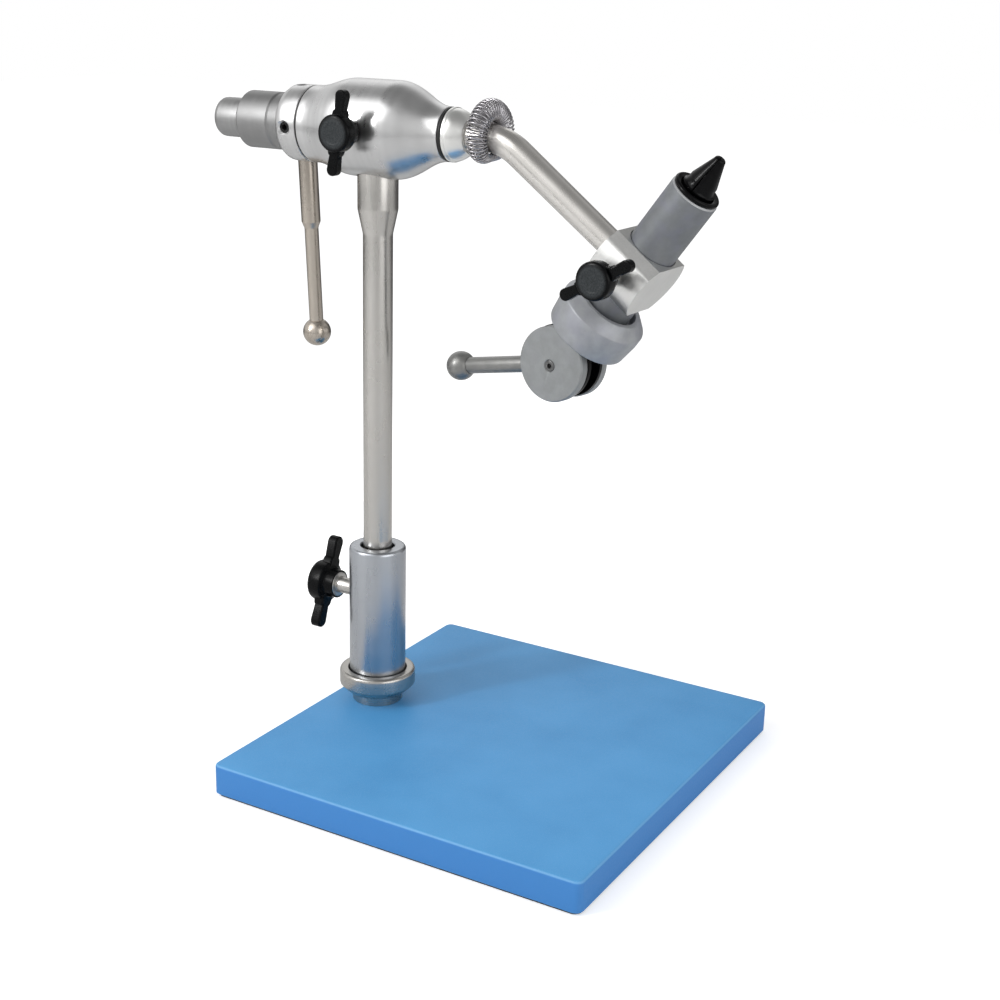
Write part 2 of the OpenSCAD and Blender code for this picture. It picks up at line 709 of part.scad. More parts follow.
module jaw_barrel() color("#737a7d") on_jaw() difference() {
    union() {
        bar(barrel_d, -barrel_end, -barrel_top - barrel_lip);
        translate([0, 0, -barrel_top - barrel_lip])
            cylinder(d1 = barrel_d, d2 = barrel_d - 2 * barrel_lip, h = barrel_lip);
    }
    bar(jaw_bore_d, -shoulder_s, 0);
    bar(rim_hole_d + 2 * rim_wall + 2 * fit, -barrel_top - rim_spigot - fit, 0);
    bar(drawbar_d + 2 * run, -barrel_end - over, 0);
}
module nose_rim() color("#141517") on_jaw() rotate_extrude() {
    r = rim_d / 2;
    b = rim_lip / 2;
    w = rim_hole_d / 2;
    z0 = -barrel_top - rim_spigot;
    polygon(concat(
        [[w, z0], [w + rim_wall, z0], [w + rim_wall, -barrel_top]],
        arc(r - b, -barrel_top + b, b, -90, 90, 10),
        [[w, -barrel_top + rim_lip - b / 2]]
    ));
}
module jaw(side) color("#141517") on_jaw() intersection() {
    rotate_extrude() {
        t = jaw_tip_d / 2;
        polygon(concat(
            [[0, 0]], arc(t - tip_round, -tip_round, tip_round, 90, 0, 4),
            [for (i = [0:flare_steps]) let (a = 90 * i / flare_steps)
                [jaw_waist_d / 2 + (jaw_flare_d - jaw_waist_d) / 2 * (1 - cos(a)),
                -barrel_top * (jaw_waist_share + jaw_flare_share * sin(a))]],
            [[jaw_root_d / 2, -barrel_top], [jaw_root_d / 2, -jaw_root], [0, -jaw_root]]
        ));
    }
    translate([side > 0 ? slit_w / 2 : -jaw_flare_d, -jaw_flare_d, -jaw_root - over])
        cube([jaw_flare_d - slit_w / 2, 2 * jaw_flare_d, jaw_root + 2 * over]);
}
module upper_jaw() jaw(-1);
module lower_jaw() jaw(1);
module drawbar() color("silver") on_jaw(cam_turn) {
    z1 = -jaw_root - jaw_collar_gap;
    difference() {
        union() {
            bar(jaw_root_d, z1 - jaw_collar_l, z1);
            bar(drawbar_d, -cam_pivot + pin_d, z1);
            translate([-cam_shift, 0, -cam_pivot]) to_side() bar(eye_d, -eye_t / 2, eye_t / 2);
        }
        translate([-cam_shift, 0, -cam_pivot]) to_side() bar(pin_d + 2 * run, -eye_d, eye_d);
        for (side = [0, 180]) rotate([0, 0, side]) translate([-eye_d, eye_t / 2, -cam_pivot - eye_d])
            cube([2 * eye_d, eye_d, eye_d + cam_r + cam_throw]);
    }
}
module return_spring() color("silver") on_jaw() translate([0, 0, -shoulder_s + spring_gap])
    bush(jaw_bore_d - 4 * spring_gap, drawbar_d + 2 * spring_gap, 0, spring_room);
module tension_ring() color("#8f92a0") on_jaw() rotate_extrude() {
    r = ring_d / 2;
    w = ring_bore_d / 2;
    b = barrel_d / 2 + run;
    e = ring_bevel_share * ring_t;
    polygon([
        [drawbar_d / 2 + 2 * run, -ring_end], [r - ring_edge, -ring_end], [r, -ring_end + ring_taper],
        [r, -ring_top - e], [r - e, -ring_top], [w, -ring_top], [w, -ring_top - ring_recess],
        [b, -ring_top - ring_recess], [b, -barrel_end - face_gap],
        [drawbar_d / 2 + 2 * run, -barrel_end - face_gap]
    ]);
}

// Cam lever: local +Z is the pivot, pointing to the drag knob's side; local +Y is towards the jaws

module cam_place() on_jaw(cam_turn) translate([-cam_shift, 0, -cam_pivot]) to_side() children();
module lever_place() cam_place() rotate([0, 0, lever_angle]) rotate([0, 90, 0]) children();
module cam() color("#17181a") difference() {
    cam_place() difference() {
        translate([0, cam_throw, 0]) bar(2 * cam_r, -cam_w / 2, cam_w / 2);
        bar(pin_d + 2 * fit, -cam_w, cam_w);
        translate([-slot_reach, -slot_reach, -eye_t / 2 - slot_side])
            cube([2 * cam_r, 2 * cam_r, eye_t + 2 * slot_side]);
        bar(eye_d + 4 * slot_side, -eye_t / 2 - slot_side, eye_t / 2 + slot_side);
    }
    lever_place() bar(lever_d + 2 * fit, cam_r - lever_seat, 2 * cam_r);
}
module cam_discs() color("#8f9496") cam_place() for (side = [0, 1]) mirror([0, 0, side]) difference() {
    translate([0, disc_throw, cam_w / 2 + fit]) rotate_extrude() {
        r = disc_d / 2;
        e = disc_bevel;
        polygon([[0, 0], [r - e, 0], [r, e], [r, disc_t - e], [r - e, disc_t], [0, disc_t]]);
    }
    bar(pin_d + 2 * fit, 0, cam_w + disc_t);
}
module cam_pin() color("dimgray") cam_place() difference() {
    bar(pin_d, -cam_w / 2 - disc_t, cam_w / 2 + disc_t);
    for (side = [0, 180]) rotate([side, 0, 0]) translate([0, 0, cam_w / 2 + disc_t - socket_key_l])
        cylinder(d = pin_d / 2, h = socket_key_l + over, $fn = 6);
}
module lever_rod() color("gray") lever_place()
    bar(lever_d, cam_r - lever_seat + fit, lever_length - ball_seat_share * lever_d);
module lever_ball() color("gray") lever_place() translate([0, 0, lever_length]) ball(lever_ball_d, lever_d);

base_plate();
base_pad();
post_bolt();
foot_ring();
post();
post_knob();
post_knob_screw();
stem();
housing();
front_bushing();
rear_bushing();
thrust_washer();
nose_seal();
drag_knob();
drag_screw();
drag_shoe();
rotor_shaft();
nose_hub();
bent_arm();
material_spring();
crank_collar();
collar_screws();
crank_rod();
crank_ball();
rear_sleeve();
end_cap();
clamp_block();
block_knob();
block_screw();
block_shoe();
jaw_barrel();
nose_rim();
upper_jaw();
lower_jaw();
drawbar();
return_spring();
tension_ring();
cam();
cam_discs();
cam_pin();
lever_rod();
lever_ball();
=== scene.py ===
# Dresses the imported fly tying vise: finer pieces, procedural finishes, soft light and a camera
import math
from types import SimpleNamespace

import bpy
from mathutils import Matrix, Vector


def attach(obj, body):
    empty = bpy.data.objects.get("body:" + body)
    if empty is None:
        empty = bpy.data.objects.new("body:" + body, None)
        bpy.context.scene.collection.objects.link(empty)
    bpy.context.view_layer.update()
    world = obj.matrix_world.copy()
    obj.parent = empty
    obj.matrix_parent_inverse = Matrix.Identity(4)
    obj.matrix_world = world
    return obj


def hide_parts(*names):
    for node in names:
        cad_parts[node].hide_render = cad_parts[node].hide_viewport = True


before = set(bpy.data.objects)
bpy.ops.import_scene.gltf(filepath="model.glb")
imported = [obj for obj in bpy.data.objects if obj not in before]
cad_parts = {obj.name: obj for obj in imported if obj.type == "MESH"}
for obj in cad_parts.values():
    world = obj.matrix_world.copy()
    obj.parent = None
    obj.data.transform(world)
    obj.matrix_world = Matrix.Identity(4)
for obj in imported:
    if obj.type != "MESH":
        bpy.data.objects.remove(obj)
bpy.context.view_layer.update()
mm = 0.001

# Places that the pieces share, in millimetres and degrees, as in the part's source
layout = dict(
    stemX=-58.9, axisZ=236.4, rotorTurn=4, tipX=74.5, tipDrop=0.6, jawTilt=53.4, housingRearX=-85.6,
    housingFrontX=-28.2, sleeveX=-96.2, capX=-116.6, hubX=-26.6, cornerX=-6.3, armDrop=38, postKnobZ=57,
    blockMid=48.6, blockTurn=5.4, blockShift=1.5, blockKnobIn=1, blockKnobLow=2, camPivot=95.9, camTurn=9,
    camShift=0.9, leverAngle=227.2)


def read(values):
    return SimpleNamespace(**values)


def shift(x=0, y=0, z=0):
    return Matrix.Translation(Vector((x, y, z)) * mm)


def turn(degrees, axis):
    return Matrix.Rotation(math.radians(degrees), 4, axis)


where = read(layout)
towardsSide = turn(90, "X")
upright = shift(x=where.stemX)
head = shift(z=where.axisZ)
rotor = head @ turn(where.rotorTurn, "X")


def alongAxis(x, base=rotor):
    return base @ shift(x=x) @ turn(90, "Y")


def jawPlace(spin=0):
    tip = rotor @ shift(where.tipX, 0, -where.tipDrop)
    return tip @ turn(90 - where.jawTilt, "Y") @ turn(-spin, "Z")


def collarPlace(degrees):
    return rotor @ shift(x=where.sleeveX + 5) @ turn(degrees, "X")


jaw = jawPlace()
dragPlace = shift(where.stemX, 0, where.axisZ) @ towardsSide
postKnobPlace = shift(where.stemX, 0, where.postKnobZ) @ turn(-90, "Y")
armPlace = rotor @ shift(x=where.cornerX) @ turn(90 + where.armDrop, "Y")
blockPlace = jawPlace(where.blockTurn) @ shift(0, -where.blockShift, -where.blockMid) @ turn(90, "Y")
blockKnobPlace = (jawPlace(where.blockTurn)
                  @ shift(-where.blockKnobIn, 0, -where.blockMid - where.blockKnobLow) @ towardsSide)
camPlace = jawPlace(where.camTurn) @ shift(-where.camShift, 0, -where.camPivot) @ towardsSide
leverPlace = camPlace @ turn(where.leverAngle, "Z") @ turn(90, "Y")


class Signal:
    # one output socket, so that sums on it are written as Python
    def __init__(self, graph, socket):
        self.graph = graph
        self.socket = socket

    def joined(self, operation, other, flipped=False):
        pair = (other, self) if flipped else (self, other)
        return self.graph.add("ShaderNodeMath", {"operation": operation}, *pair)

    def __add__(self, other):
        return self.joined("ADD", other)

    __radd__ = __add__

    def __sub__(self, other):
        return self.joined("SUBTRACT", other)

    def __rsub__(self, other):
        return self.joined("SUBTRACT", other, True)

    def __mul__(self, other):
        return self.joined("MULTIPLY", other)

    __rmul__ = __mul__

    def __pow__(self, other):
        return self.joined("POWER", other)


class Graph:
    # the nodes of one material or world; add() makes any node from its type, its settings and its inputs
    def __init__(self, owner, shader):
        owner.use_nodes = True
        self.owner = owner
        self.tree = owner.node_tree
        self.shader = self.tree.nodes[shader]

    def plug(self, socket, value):
        if isinstance(value, Signal):
            self.tree.links.new(value.socket, socket)
        elif socket.type == "RGBA":  # one number is a grey
            socket.default_value = (*(value if isinstance(value, tuple) else (value,) * 3), 1)
        else:
            socket.default_value = value

    def add(self, kind, settings=None, *inputs, out=0, **named):
        node = self.tree.nodes.new(kind)
        for key, value in (settings or {}).items():
            setattr(node, key, value)
        for place, value in enumerate(inputs):
            if value is not None:
                self.plug(node.inputs[place], value)
        for label, value in named.items():
            self.plug(node.inputs[label.replace("_", " ")], value)
        return Signal(self, node.outputs[out])

    def split(self, spot):
        return [self.add("ShaderNodeSeparateXYZ", None, spot, out=i) for i in range(3)]

    def coords(self, place=None, stretch=(1, 1, 1)):
        # object coordinates in millimetres, in the piece's own frame, then stretched
        spot = self.add("ShaderNodeTexCoord", out="Object")
        if place is not None:
            spot = self.add("ShaderNodeMapping", {"vector_type": "TEXTURE"}, spot,
                            Location=place.to_translation(), Rotation=place.to_euler())
        return self.add("ShaderNodeMapping", None, spot, Scale=Vector(stretch) / mm)

    def noise(self, spot, scale, detail, roughness=0.5):
        return self.add("ShaderNodeTexNoise", Vector=spot, Scale=scale, Detail=detail, Roughness=roughness)

    def rings(self, place, scale):
        # marks of a lathe: they change along the axis and with the radius only
        x, y, z = self.split(self.coords(place))
        radius = (x * x + y * y) ** 0.5
        return self.add("ShaderNodeTexNoise", {"noise_dimensions": "1D"}, W=(z + radius) * scale,
                        Scale=1, Detail=0, Roughness=0.6)

    def mix(self, factor, first, second):
        # the colour sockets come after five others
        return self.add("ShaderNodeMix", {"data_type": "RGBA"}, factor, *[None] * 5, first, second, out=2)

    def span(self, signal, low, high, start=0.3, end=0.7):
        return self.add("ShaderNodeMapRange", None, signal, start, end, low, high)

    def bumps(self, height, strength, distance):
        return self.add("ShaderNodeBump", Height=height, Strength=strength, Distance=distance * mm)

    def metal(self, v, marks, cloud, share, haze):
        # the marks of the tool carry their share of the tone, the clouds of handling the rest
        tone = self.span(marks, 0, share) + self.span(cloud, 0, 1 - share)
        return self.done(Base_Color=self.mix(tone, v.dark, v.light), Metallic=1.0,
                         Roughness=self.span(marks, *v.roughness) + self.span(cloud, -0.03, haze),
                         Normal=self.bumps(marks, v.bump, 0.03))

    def done(self, **sockets):
        for label, value in sockets.items():
            self.plug(self.shader.inputs[label.replace("_", " ")], value)
        return self.owner


def finish(name):
    return Graph(bpy.data.materials.new(name), "Principled BSDF")


def powderCoat(name, values):
    # the fine orange peel of a sprayed and baked coat, with painted shade on the upright sides and a painted
    # highlight on the bevels
    f, v = finish(name), read(values)
    spot = f.coords()
    peel = f.noise(spot, v.peel, 3, 0.6)
    cloud = f.noise(spot, v.cloud, 2)
    colour = f.mix(f.span(cloud, 0, 1), v.deep, v.pale)
    speck = f.span(f.noise(spot, v.peel * 2.3, 1), 0, v.speck, 0.55, 0.75)
    # painted shade: faces that stand upright take the darker side colour
    slope = f.split(f.add("ShaderNodeNewGeometry", out="Normal"))[2]
    colour = f.mix(f.span(slope * slope, 1, 0, 0.05, 0.4), f.mix(speck, colour, v.light), v.side)
    # painted highlight: the bevels between top and sides are lightened
    edge = f.span(slope * slope * (1 - slope * slope), 0, v.edge, 0.08, 0.22)
    colour = f.mix(edge, colour, v.light)
    return f.done(Base_Color=colour, Roughness=f.span(peel, *v.roughness),
                  Normal=f.bumps(peel, v.bump, 0.12), IOR=1.48)


def turnedMetal(name, place, values):
    # lathe-turned and lightly polished: rings round the axis, soft clouds of handling
    f, v = finish(name), read(values)
    rings = f.rings(place, v.rings)
    cloud = f.noise(f.coords(place), 0.12, 3, 0.6)
    return f.metal(v, rings, cloud, 0.5, 0.04)


def drawnMetal(name, place, values):
    # cold-drawn bar: fine streaks along its length
    f, v = finish(name), read(values)
    streak = f.noise(f.coords(place, (1, 1, 0.012)), v.streaks, 0)
    cloud = f.noise(f.coords(place), 0.09, 2)
    return f.metal(v, streak, cloud, 0.7, 0.03)


def blastedMetal(name, place, values):
    # bead-blasted or matte anodised: an even fine grain with faint clouds of tint
    f, v = finish(name), read(values)
    spot = f.coords(place)
    grain = f.noise(spot, v.grain, 2, 0.6)
    cloud = f.noise(spot, v.cloud, 3, 0.55)
    colour = f.mix(f.span(cloud, 0, 1), v.dark, v.light)
    tinting = f.span(f.noise(spot, v.cloud * 0.7, 2), 0, v.tinting, 0.45, 0.7)
    colour = f.mix(f.span(grain, 0, 0.12), f.mix(tinting, colour, v.tint), v.light)
    # painted highlight: a light band round the top of the barrel, where its chamfer under the rim catches the
    # light
    if "worn" in values:
        z = f.split(spot)[2]
        colour = f.mix(f.span(z, 0, 1, v.worn, v.worn + 0.15), colour, v.bare)
    return f.done(Base_Color=colour, Metallic=v.metallic, Roughness=f.span(grain, *v.roughness),
                  Normal=f.bumps(grain, v.bump, 0.04))


def mouldedPlastic(name, values, place=None):
    # with a place, the face of a knob wears to a grey grain inside its rim
    f, v = finish(name), read(values)
    spot = f.coords(place)
    grain = f.noise(spot, v.grain, 2, 0.7)
    patch = f.noise(spot, 0.35, 2)
    colour = f.mix(f.span(grain, 0, 1, 0.5, 0.75), v.dark, v.light)
    rough = f.span(grain, *v.roughness) + f.span(patch, -0.05, 0.05)
    if place is not None:
        x, y, z = f.split(spot)
        # here the mask is the real wear of the knob's face
        worn = f.span((x * x + y * y) ** 0.5, 1, 0, v.face - 1.2, v.face) * f.span(z, 0, 1, -0.9, -0.5)
        colour = f.mix(worn, colour, f.mix(f.span(grain, 0, 1, 0.3, 0.7), v.faceDark, v.faceLight))
        rough = rough + worn * 0.14
    return f.done(Base_Color=colour, Roughness=rough, Specular_IOR_Level=values.get("gloss", 0.5),
                  Normal=f.bumps(grain, v.bump, 0.05))


def blackOxide(name, place, values):
    f, v = finish(name), read(values)
    rings = f.rings(place, 5)
    cloud = f.noise(f.coords(place), 0.5, 3)
    return f.done(Base_Color=f.mix(f.span(cloud, 0, 1), v.dark, v.light),
                  Roughness=f.span(rings, *v.roughness), Metallic=v.metallic,
                  Specular_IOR_Level=v.gloss, Normal=f.bumps(rings, 0.1, 0.01))


def milledMetal(name, place, values):
    # a cutter's straight passes across the flats
    f, v = finish(name), read(values)
    passes = f.noise(f.coords(place, (0.02, 1, 1)), v.passes, 3, 0.6)
    cloud = f.noise(f.coords(place), 0.12, 2)
    tone = f.span(passes, 0, 0.5) + f.span(cloud, 0, 0.5)
    return f.done(Base_Color=f.mix(tone, v.dark, v.light), Metallic=1.0,
                  Roughness=f.span(passes, *v.roughness), Normal=f.bumps(passes, v.bump, 0.03))


# side is the painted shade of the upright faces; light gives the specks and the painted highlight of the bevels
blueCoat = powderCoat("blueCoat", dict(
    deep=(0.066, 0.300, 0.625), pale=(0.086, 0.345, 0.690), light=(0.20, 0.46, 0.78),
    side=(0.045, 0.225, 0.575), speck=0.4, edge=0.45, peel=1.3, cloud=0.035, roughness=(0.42, 0.56),
    bump=0.35))
knobFinish = dict(
    dark=(0.001, 0.0012, 0.0015), light=(0.003, 0.0035, 0.004), faceDark=(0.020, 0.023, 0.025),
    faceLight=(0.052, 0.057, 0.06), grain=2.4, roughness=(0.22, 0.32), bump=0.25, gloss=0.12)
padRubber = mouldedPlastic("padRubber", dict(
    dark=(0.012, 0.012, 0.013), light=(0.03, 0.03, 0.032), grain=1.5, roughness=(0.75, 0.9), bump=0.4))
sealRubber = mouldedPlastic("sealRubber", dict(
    dark=0.004, light=0.010, grain=4.0, roughness=(0.4, 0.5), bump=0.1))
shoeNylon = mouldedPlastic("shoeNylon", dict(
    dark=(0.62, 0.60, 0.52), light=(0.74, 0.72, 0.65), grain=2.0, roughness=(0.45, 0.55), bump=0.1))
washerNylon = mouldedPlastic("washerNylon", dict(
    dark=0.012, light=0.03, grain=2.0, roughness=(0.5, 0.6), bump=0.1))

aluminium = dict(dark=0.55, light=0.60, rings=0.5, roughness=(0.28, 0.32), bump=0.002)
steel = dict(
    dark=(0.50, 0.485, 0.46), light=(0.56, 0.545, 0.52), streaks=0.45, roughness=(0.26, 0.30), bump=0.001)
housingMetal = turnedMetal("housingMetal", alongAxis(0, head), aluminium)
rotorMetal = turnedMetal("rotorMetal", alongAxis(0), aluminium)
sleeveMetal = turnedMetal("sleeveMetal", alongAxis(0), dict(
    aluminium, dark=0.26, light=0.29, roughness=(0.44, 0.49)))
hubMetal = turnedMetal("hubMetal", alongAxis(0), dict(
    aluminium, dark=(0.78, 0.78, 0.76), light=(0.84, 0.84, 0.82)))
capMetal = turnedMetal("capMetal", alongAxis(0), dict(
    dark=0.28, light=0.36, rings=0.8, roughness=(0.42, 0.5), bump=0.02))
postMetal = drawnMetal("postMetal", upright, dict(
    steel, dark=(0.40, 0.42, 0.45), light=(0.45, 0.47, 0.50), streaks=0.3))
footMetal = turnedMetal("footMetal", upright, dict(
    dark=(0.41, 0.40, 0.38), light=(0.47, 0.455, 0.43), rings=0.5, roughness=(0.27, 0.30), bump=0.001))
insertMetal = turnedMetal("insertMetal", postKnobPlace, dict(
    dark=(0.42, 0.41, 0.39), light=(0.58, 0.565, 0.54), rings=5.0, roughness=(0.24, 0.34), bump=0.12))
bushingBronze = turnedMetal("bushingBronze", alongAxis(0, head), dict(
    dark=(0.36, 0.22, 0.10), light=(0.46, 0.30, 0.15), rings=4.0, roughness=(0.4, 0.5), bump=0.1))
stemMetal = drawnMetal("stemMetal", upright, steel)
armMetal = drawnMetal("armMetal", armPlace, dict(
    steel, dark=(0.66, 0.64, 0.61), light=(0.72, 0.70, 0.67)))
crankMetal = drawnMetal("crankMetal", collarPlace(180), dict(
    steel, dark=(0.43, 0.385, 0.335), light=(0.50, 0.455, 0.40)))
shaftMetal = drawnMetal("shaftMetal", alongAxis(0), steel)
springMetal = drawnMetal("springMetal", alongAxis(0), dict(
    steel, dark=(0.30, 0.29, 0.30), light=(0.44, 0.43, 0.45), roughness=(0.24, 0.3)))
blockMetal = milledMetal("blockMetal", blockPlace, dict(
    dark=(0.70, 0.70, 0.685), light=(0.80, 0.80, 0.785), passes=1.6, roughness=(0.30, 0.38), bump=0.02))
matteGrey = dict(
    dark=(0.16, 0.17, 0.18), light=(0.20, 0.21, 0.22), tint=(0.18, 0.185, 0.24), tinting=0.5, grain=2.6,
    cloud=0.22, metallic=0.35, roughness=(0.42, 0.54), bump=0.12)
# the light band from -15.15 mm up is a painted highlight on the barrel's top chamfer
barrelMetal = blastedMetal("barrelMetal", jaw, dict(matteGrey, worn=-15.15, bare=(0.42, 0.43, 0.44)))
ringMetal = blastedMetal("ringMetal", jaw, dict(
    matteGrey, dark=(0.29, 0.30, 0.315), light=(0.37, 0.38, 0.395), tint=(0.33, 0.335, 0.39)))
discMetal = blastedMetal("discMetal", camPlace, dict(
    matteGrey, dark=(0.24, 0.25, 0.25), light=(0.30, 0.31, 0.315), tint=(0.275, 0.28, 0.295)))
leverMetal = blastedMetal("leverMetal", leverPlace, dict(
    matteGrey, dark=(0.21, 0.21, 0.205), light=(0.27, 0.27, 0.26), tint=0.245,
    metallic=0.7, roughness=(0.32, 0.42)))
oxide = dict(
    dark=(0.001, 0.001, 0.0013), light=(0.003, 0.003, 0.0035), roughness=(0.16, 0.24), metallic=0.0, gloss=0.11)
jawOxide = blackOxide("jawOxide", jaw, oxide)
camOxide = blackOxide("camOxide", camPlace, oxide)
screwOxide = blackOxide("screwOxide", alongAxis(0), dict(oxide, metallic=0.5, light=0.05))
pinOxide = blackOxide("pinOxide", camPlace, dict(
    oxide, metallic=0.8, dark=0.10, light=0.22, roughness=(0.3, 0.4)))
print("finishes ready")


def clear():
    if bpy.context.object and bpy.context.object.mode != "OBJECT":
        bpy.ops.object.mode_set(mode="OBJECT")
    bpy.ops.object.select_all(action="DESELECT")


def choose(*pieces):
    clear()
    for piece in pieces:
        piece.select_set(True)
    bpy.context.view_layer.objects.active = pieces[0]


def edit(piece, action="SELECT"):
    choose(piece)
    bpy.ops.object.mode_set(mode="EDIT")
    bpy.ops.mesh.select_mode(type="VERT")
    bpy.ops.mesh.select_all(action=action)


def pick(piece, wanted):
    # selects the edges whose two ends pass a test, and stays in edit mode
    edit(piece, "DESELECT")
    bpy.ops.mesh.select_mode(type="EDGE")
    bpy.ops.object.mode_set(mode="OBJECT")
    for edge in piece.data.edges:
        edge.select = wanted([piece.data.vertices[i].co / mm for i in edge.vertices])
    bpy.ops.object.mode_set(mode="EDIT")


def placed(piece, place):
    piece.data.transform(place)
    piece.data.update()
    return piece


def finished(piece, angle=32):
    # mends the skin and sets smooth shading
    edit(piece)
    bpy.ops.mesh.remove_doubles(threshold=2e-6)
    bpy.ops.mesh.normals_make_consistent(inside=False)
    choose(piece)
    bpy.ops.object.shade_smooth_by_angle(angle=math.radians(angle))
    return piece


def softened(outline, radius):
    # rounds the corners of an outline of (radius, height) points; a third number is a corner's own rounding
    closed = outline[0][:2] == outline[-1][:2]
    points = outline[:-1] if closed else outline
    spots = [Vector(point[:2]) for point in points]
    result = []
    for i, point in enumerate(points):
        here = spots[i]
        if not closed and i in (0, len(spots) - 1):
            result.append(here)
            continue
        inwards, outwards = spots[i - 1] - here, spots[(i + 1) % len(spots)] - here
        bend = math.pi - inwards.angle(outwards)
        wanted = point[2] if len(point) > 2 else radius
        if bend < math.radians(12) or wanted <= 0:
            result.append(here)
            continue
        reach = min(wanted * math.tan(bend / 2), 0.45 * inwards.length, 0.45 * outwards.length)
        start, end = here + inwards.normalized() * reach, here + outwards.normalized() * reach
        steps = 4
        for k in range(steps + 1):
            t = k / steps
            result.append(start * (1 - t) ** 2 + here * (2 * t * (1 - t)) + end * t ** 2)
    if closed:
        result.append(result[0].copy())
    return result


def pull(step):
    bpy.ops.mesh.extrude_region_move(TRANSFORM_OT_translate={"value": step})


def drawn(name, points):
    # a line of edges, vertex by vertex, left in edit mode with all of it selected
    clear()
    bpy.ops.mesh.primitive_plane_add(size=mm)
    piece = bpy.context.object
    piece.name = piece.data.name = name
    edit(piece)
    bpy.ops.mesh.merge(type="CENTER")
    here = Vector((0, 0, 0))
    for number, point in enumerate(points):
        there = Vector(point) * mm
        if number:
            pull(there - here)
        else:
            bpy.ops.transform.translate(value=there)
        here = there
    bpy.ops.mesh.select_all(action="SELECT")
    return piece


def turned(name, outline, place=Matrix(), radius=0.25, steps=96):
    # spins an outline round local Z; one that starts off the axis is a loop
    if outline[0][0] > 0.001:
        outline = [*outline, outline[0]]
    piece = drawn(name, [(across, 0, up) for across, up in softened(outline, radius)])
    bpy.ops.mesh.spin(steps=steps, angle=math.tau, center=(0, 0, 0), axis=(0, 0, 1))
    return placed(finished(piece), place)


def applied(piece, kind, **settings):
    choose(piece)
    tool = piece.modifiers.new(kind.lower(), kind)
    for key, value in settings.items():
        setattr(tool, key, value)
    bpy.ops.object.modifier_apply(modifier=tool.name)
    return piece


def combined(piece, operation, *others):
    for other in others:
        applied(piece, "BOOLEAN", object=other, operation=operation, solver="EXACT")
        bpy.data.objects.remove(other)
    return piece


def cut(piece, *tools):
    return combined(piece, "DIFFERENCE", *tools)


def eased(piece, width, angle=40):
    # breaks the sharp edges that the cuts left
    applied(piece, "BEVEL", width=width * mm, segments=2, limit_method="ANGLE",
            angle_limit=math.radians(angle), harden_normals=False, use_clamp_overlap=True)
    return finished(piece)


def drill(radius, low, high, place=Matrix(), flare=0, sides=48):
    # a straight cutter whose far end may open into a countersink that reaches its full width at `high`
    outline = [(0, low), (radius, low)]
    if flare:
        outline += [(radius, high - flare), (radius + flare, high), (radius + 3 * flare, high + 2 * flare)]
        outline += [(0, high + 2 * flare)]
    else:
        outline += [(radius, high), (0, high)]
    return turned("cutter", outline, place, 0, sides)


def prism(sides, radius, low, high, place=Matrix()):
    clear()
    bpy.ops.mesh.primitive_cylinder_add(vertices=sides, radius=radius * mm, depth=(high - low) * mm)
    return placed(bpy.context.object, place @ shift(z=(low + high) / 2))


def brick(low, high, place=Matrix()):
    clear()
    bpy.ops.mesh.primitive_cube_add(size=2 * mm)
    size = [(b - a) / 2 for a, b in zip(low, high)]
    middle = [(b + a) / 2 for a, b in zip(low, high)]
    return placed(bpy.context.object, place @ shift(*middle) @ Matrix.Diagonal((*size, 1)))


def dress(piece, body, node, material, name=None):
    piece.name = piece.data.name = name or piece.name
    piece.data.materials.clear()
    piece.data.materials.append(material)
    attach(piece, body)
    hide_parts(node)
    return piece


def coat(material, *nodes):
    for node in nodes:
        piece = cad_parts[node]
        piece.data.materials.clear()
        piece.data.materials.append(material)


coat(shoeNylon, "drag_shoe", "block_shoe")
coat(washerNylon, "thrust_washer")
coat(shaftMetal, "rotor_shaft", "drawbar")
coat(bushingBronze, "front_bushing", "rear_bushing")
print("inner nodes coated")


def slab(name, points, low, high, place=Matrix()):
    # a flat outline, filled and pulled up
    piece = drawn(name, [(x, y, low) for x, y in points])
    bpy.ops.mesh.edge_face_add()
    pull((0, 0, (high - low) * mm))
    return placed(finished(piece), place)


def wound(name, points, radius, closed, place=Matrix()):
    # a wire along the points, drawn as a bevelled curve and made a mesh
    clear()
    data = bpy.data.curves.new(name, "CURVE")
    data.dimensions = "3D"
    data.bevel_depth = radius * mm
    data.bevel_resolution = 2
    data.use_fill_caps = True
    spline = data.splines.new("POLY")
    spline.points.add(len(points) - 1)
    for knot, point in zip(spline.points, points):
        knot.co = (*(Vector(point) * mm), 1)
    spline.use_cyclic_u = closed
    piece = bpy.data.objects.new(name, data)
    bpy.context.scene.collection.objects.link(piece)
    choose(piece)
    bpy.ops.object.convert(target="MESH")
    return placed(finished(bpy.context.object, 80), place)


def arc(across, up, radius, start, end, steps):
    # points of a circle in an outline, which need no softening
    angles = [math.radians(start + (end - start) * i / steps) for i in range(steps + 1)]
    return [(across + radius * math.cos(a), up + radius * math.sin(a), 0) for a in angles]


def threaded(radius, low, high, pitch, depth):
    # the outline of a bar with grooves as a screw shows them
    points = [(0, low), (radius - depth, low)]
    for i in range(int((high - low) / pitch)):
        start = low + i * pitch
        points += [(radius - depth, start + 0.1 * pitch, 0), (radius, start + 0.45 * pitch, 0),
                   (radius, start + 0.65 * pitch, 0), (radius - depth, start + pitch, 0)]
    return points + [(radius - depth, high), (0, high)]


baseValues = dict(
    length=152.4, width=163.2, thick=11.7, lift=1, corner=3, bevel=1.1, under=0.3, boltHole=4.05, headHole=6.9,
    headDepth=6.1, padInset=0.9, padHole=7.4)


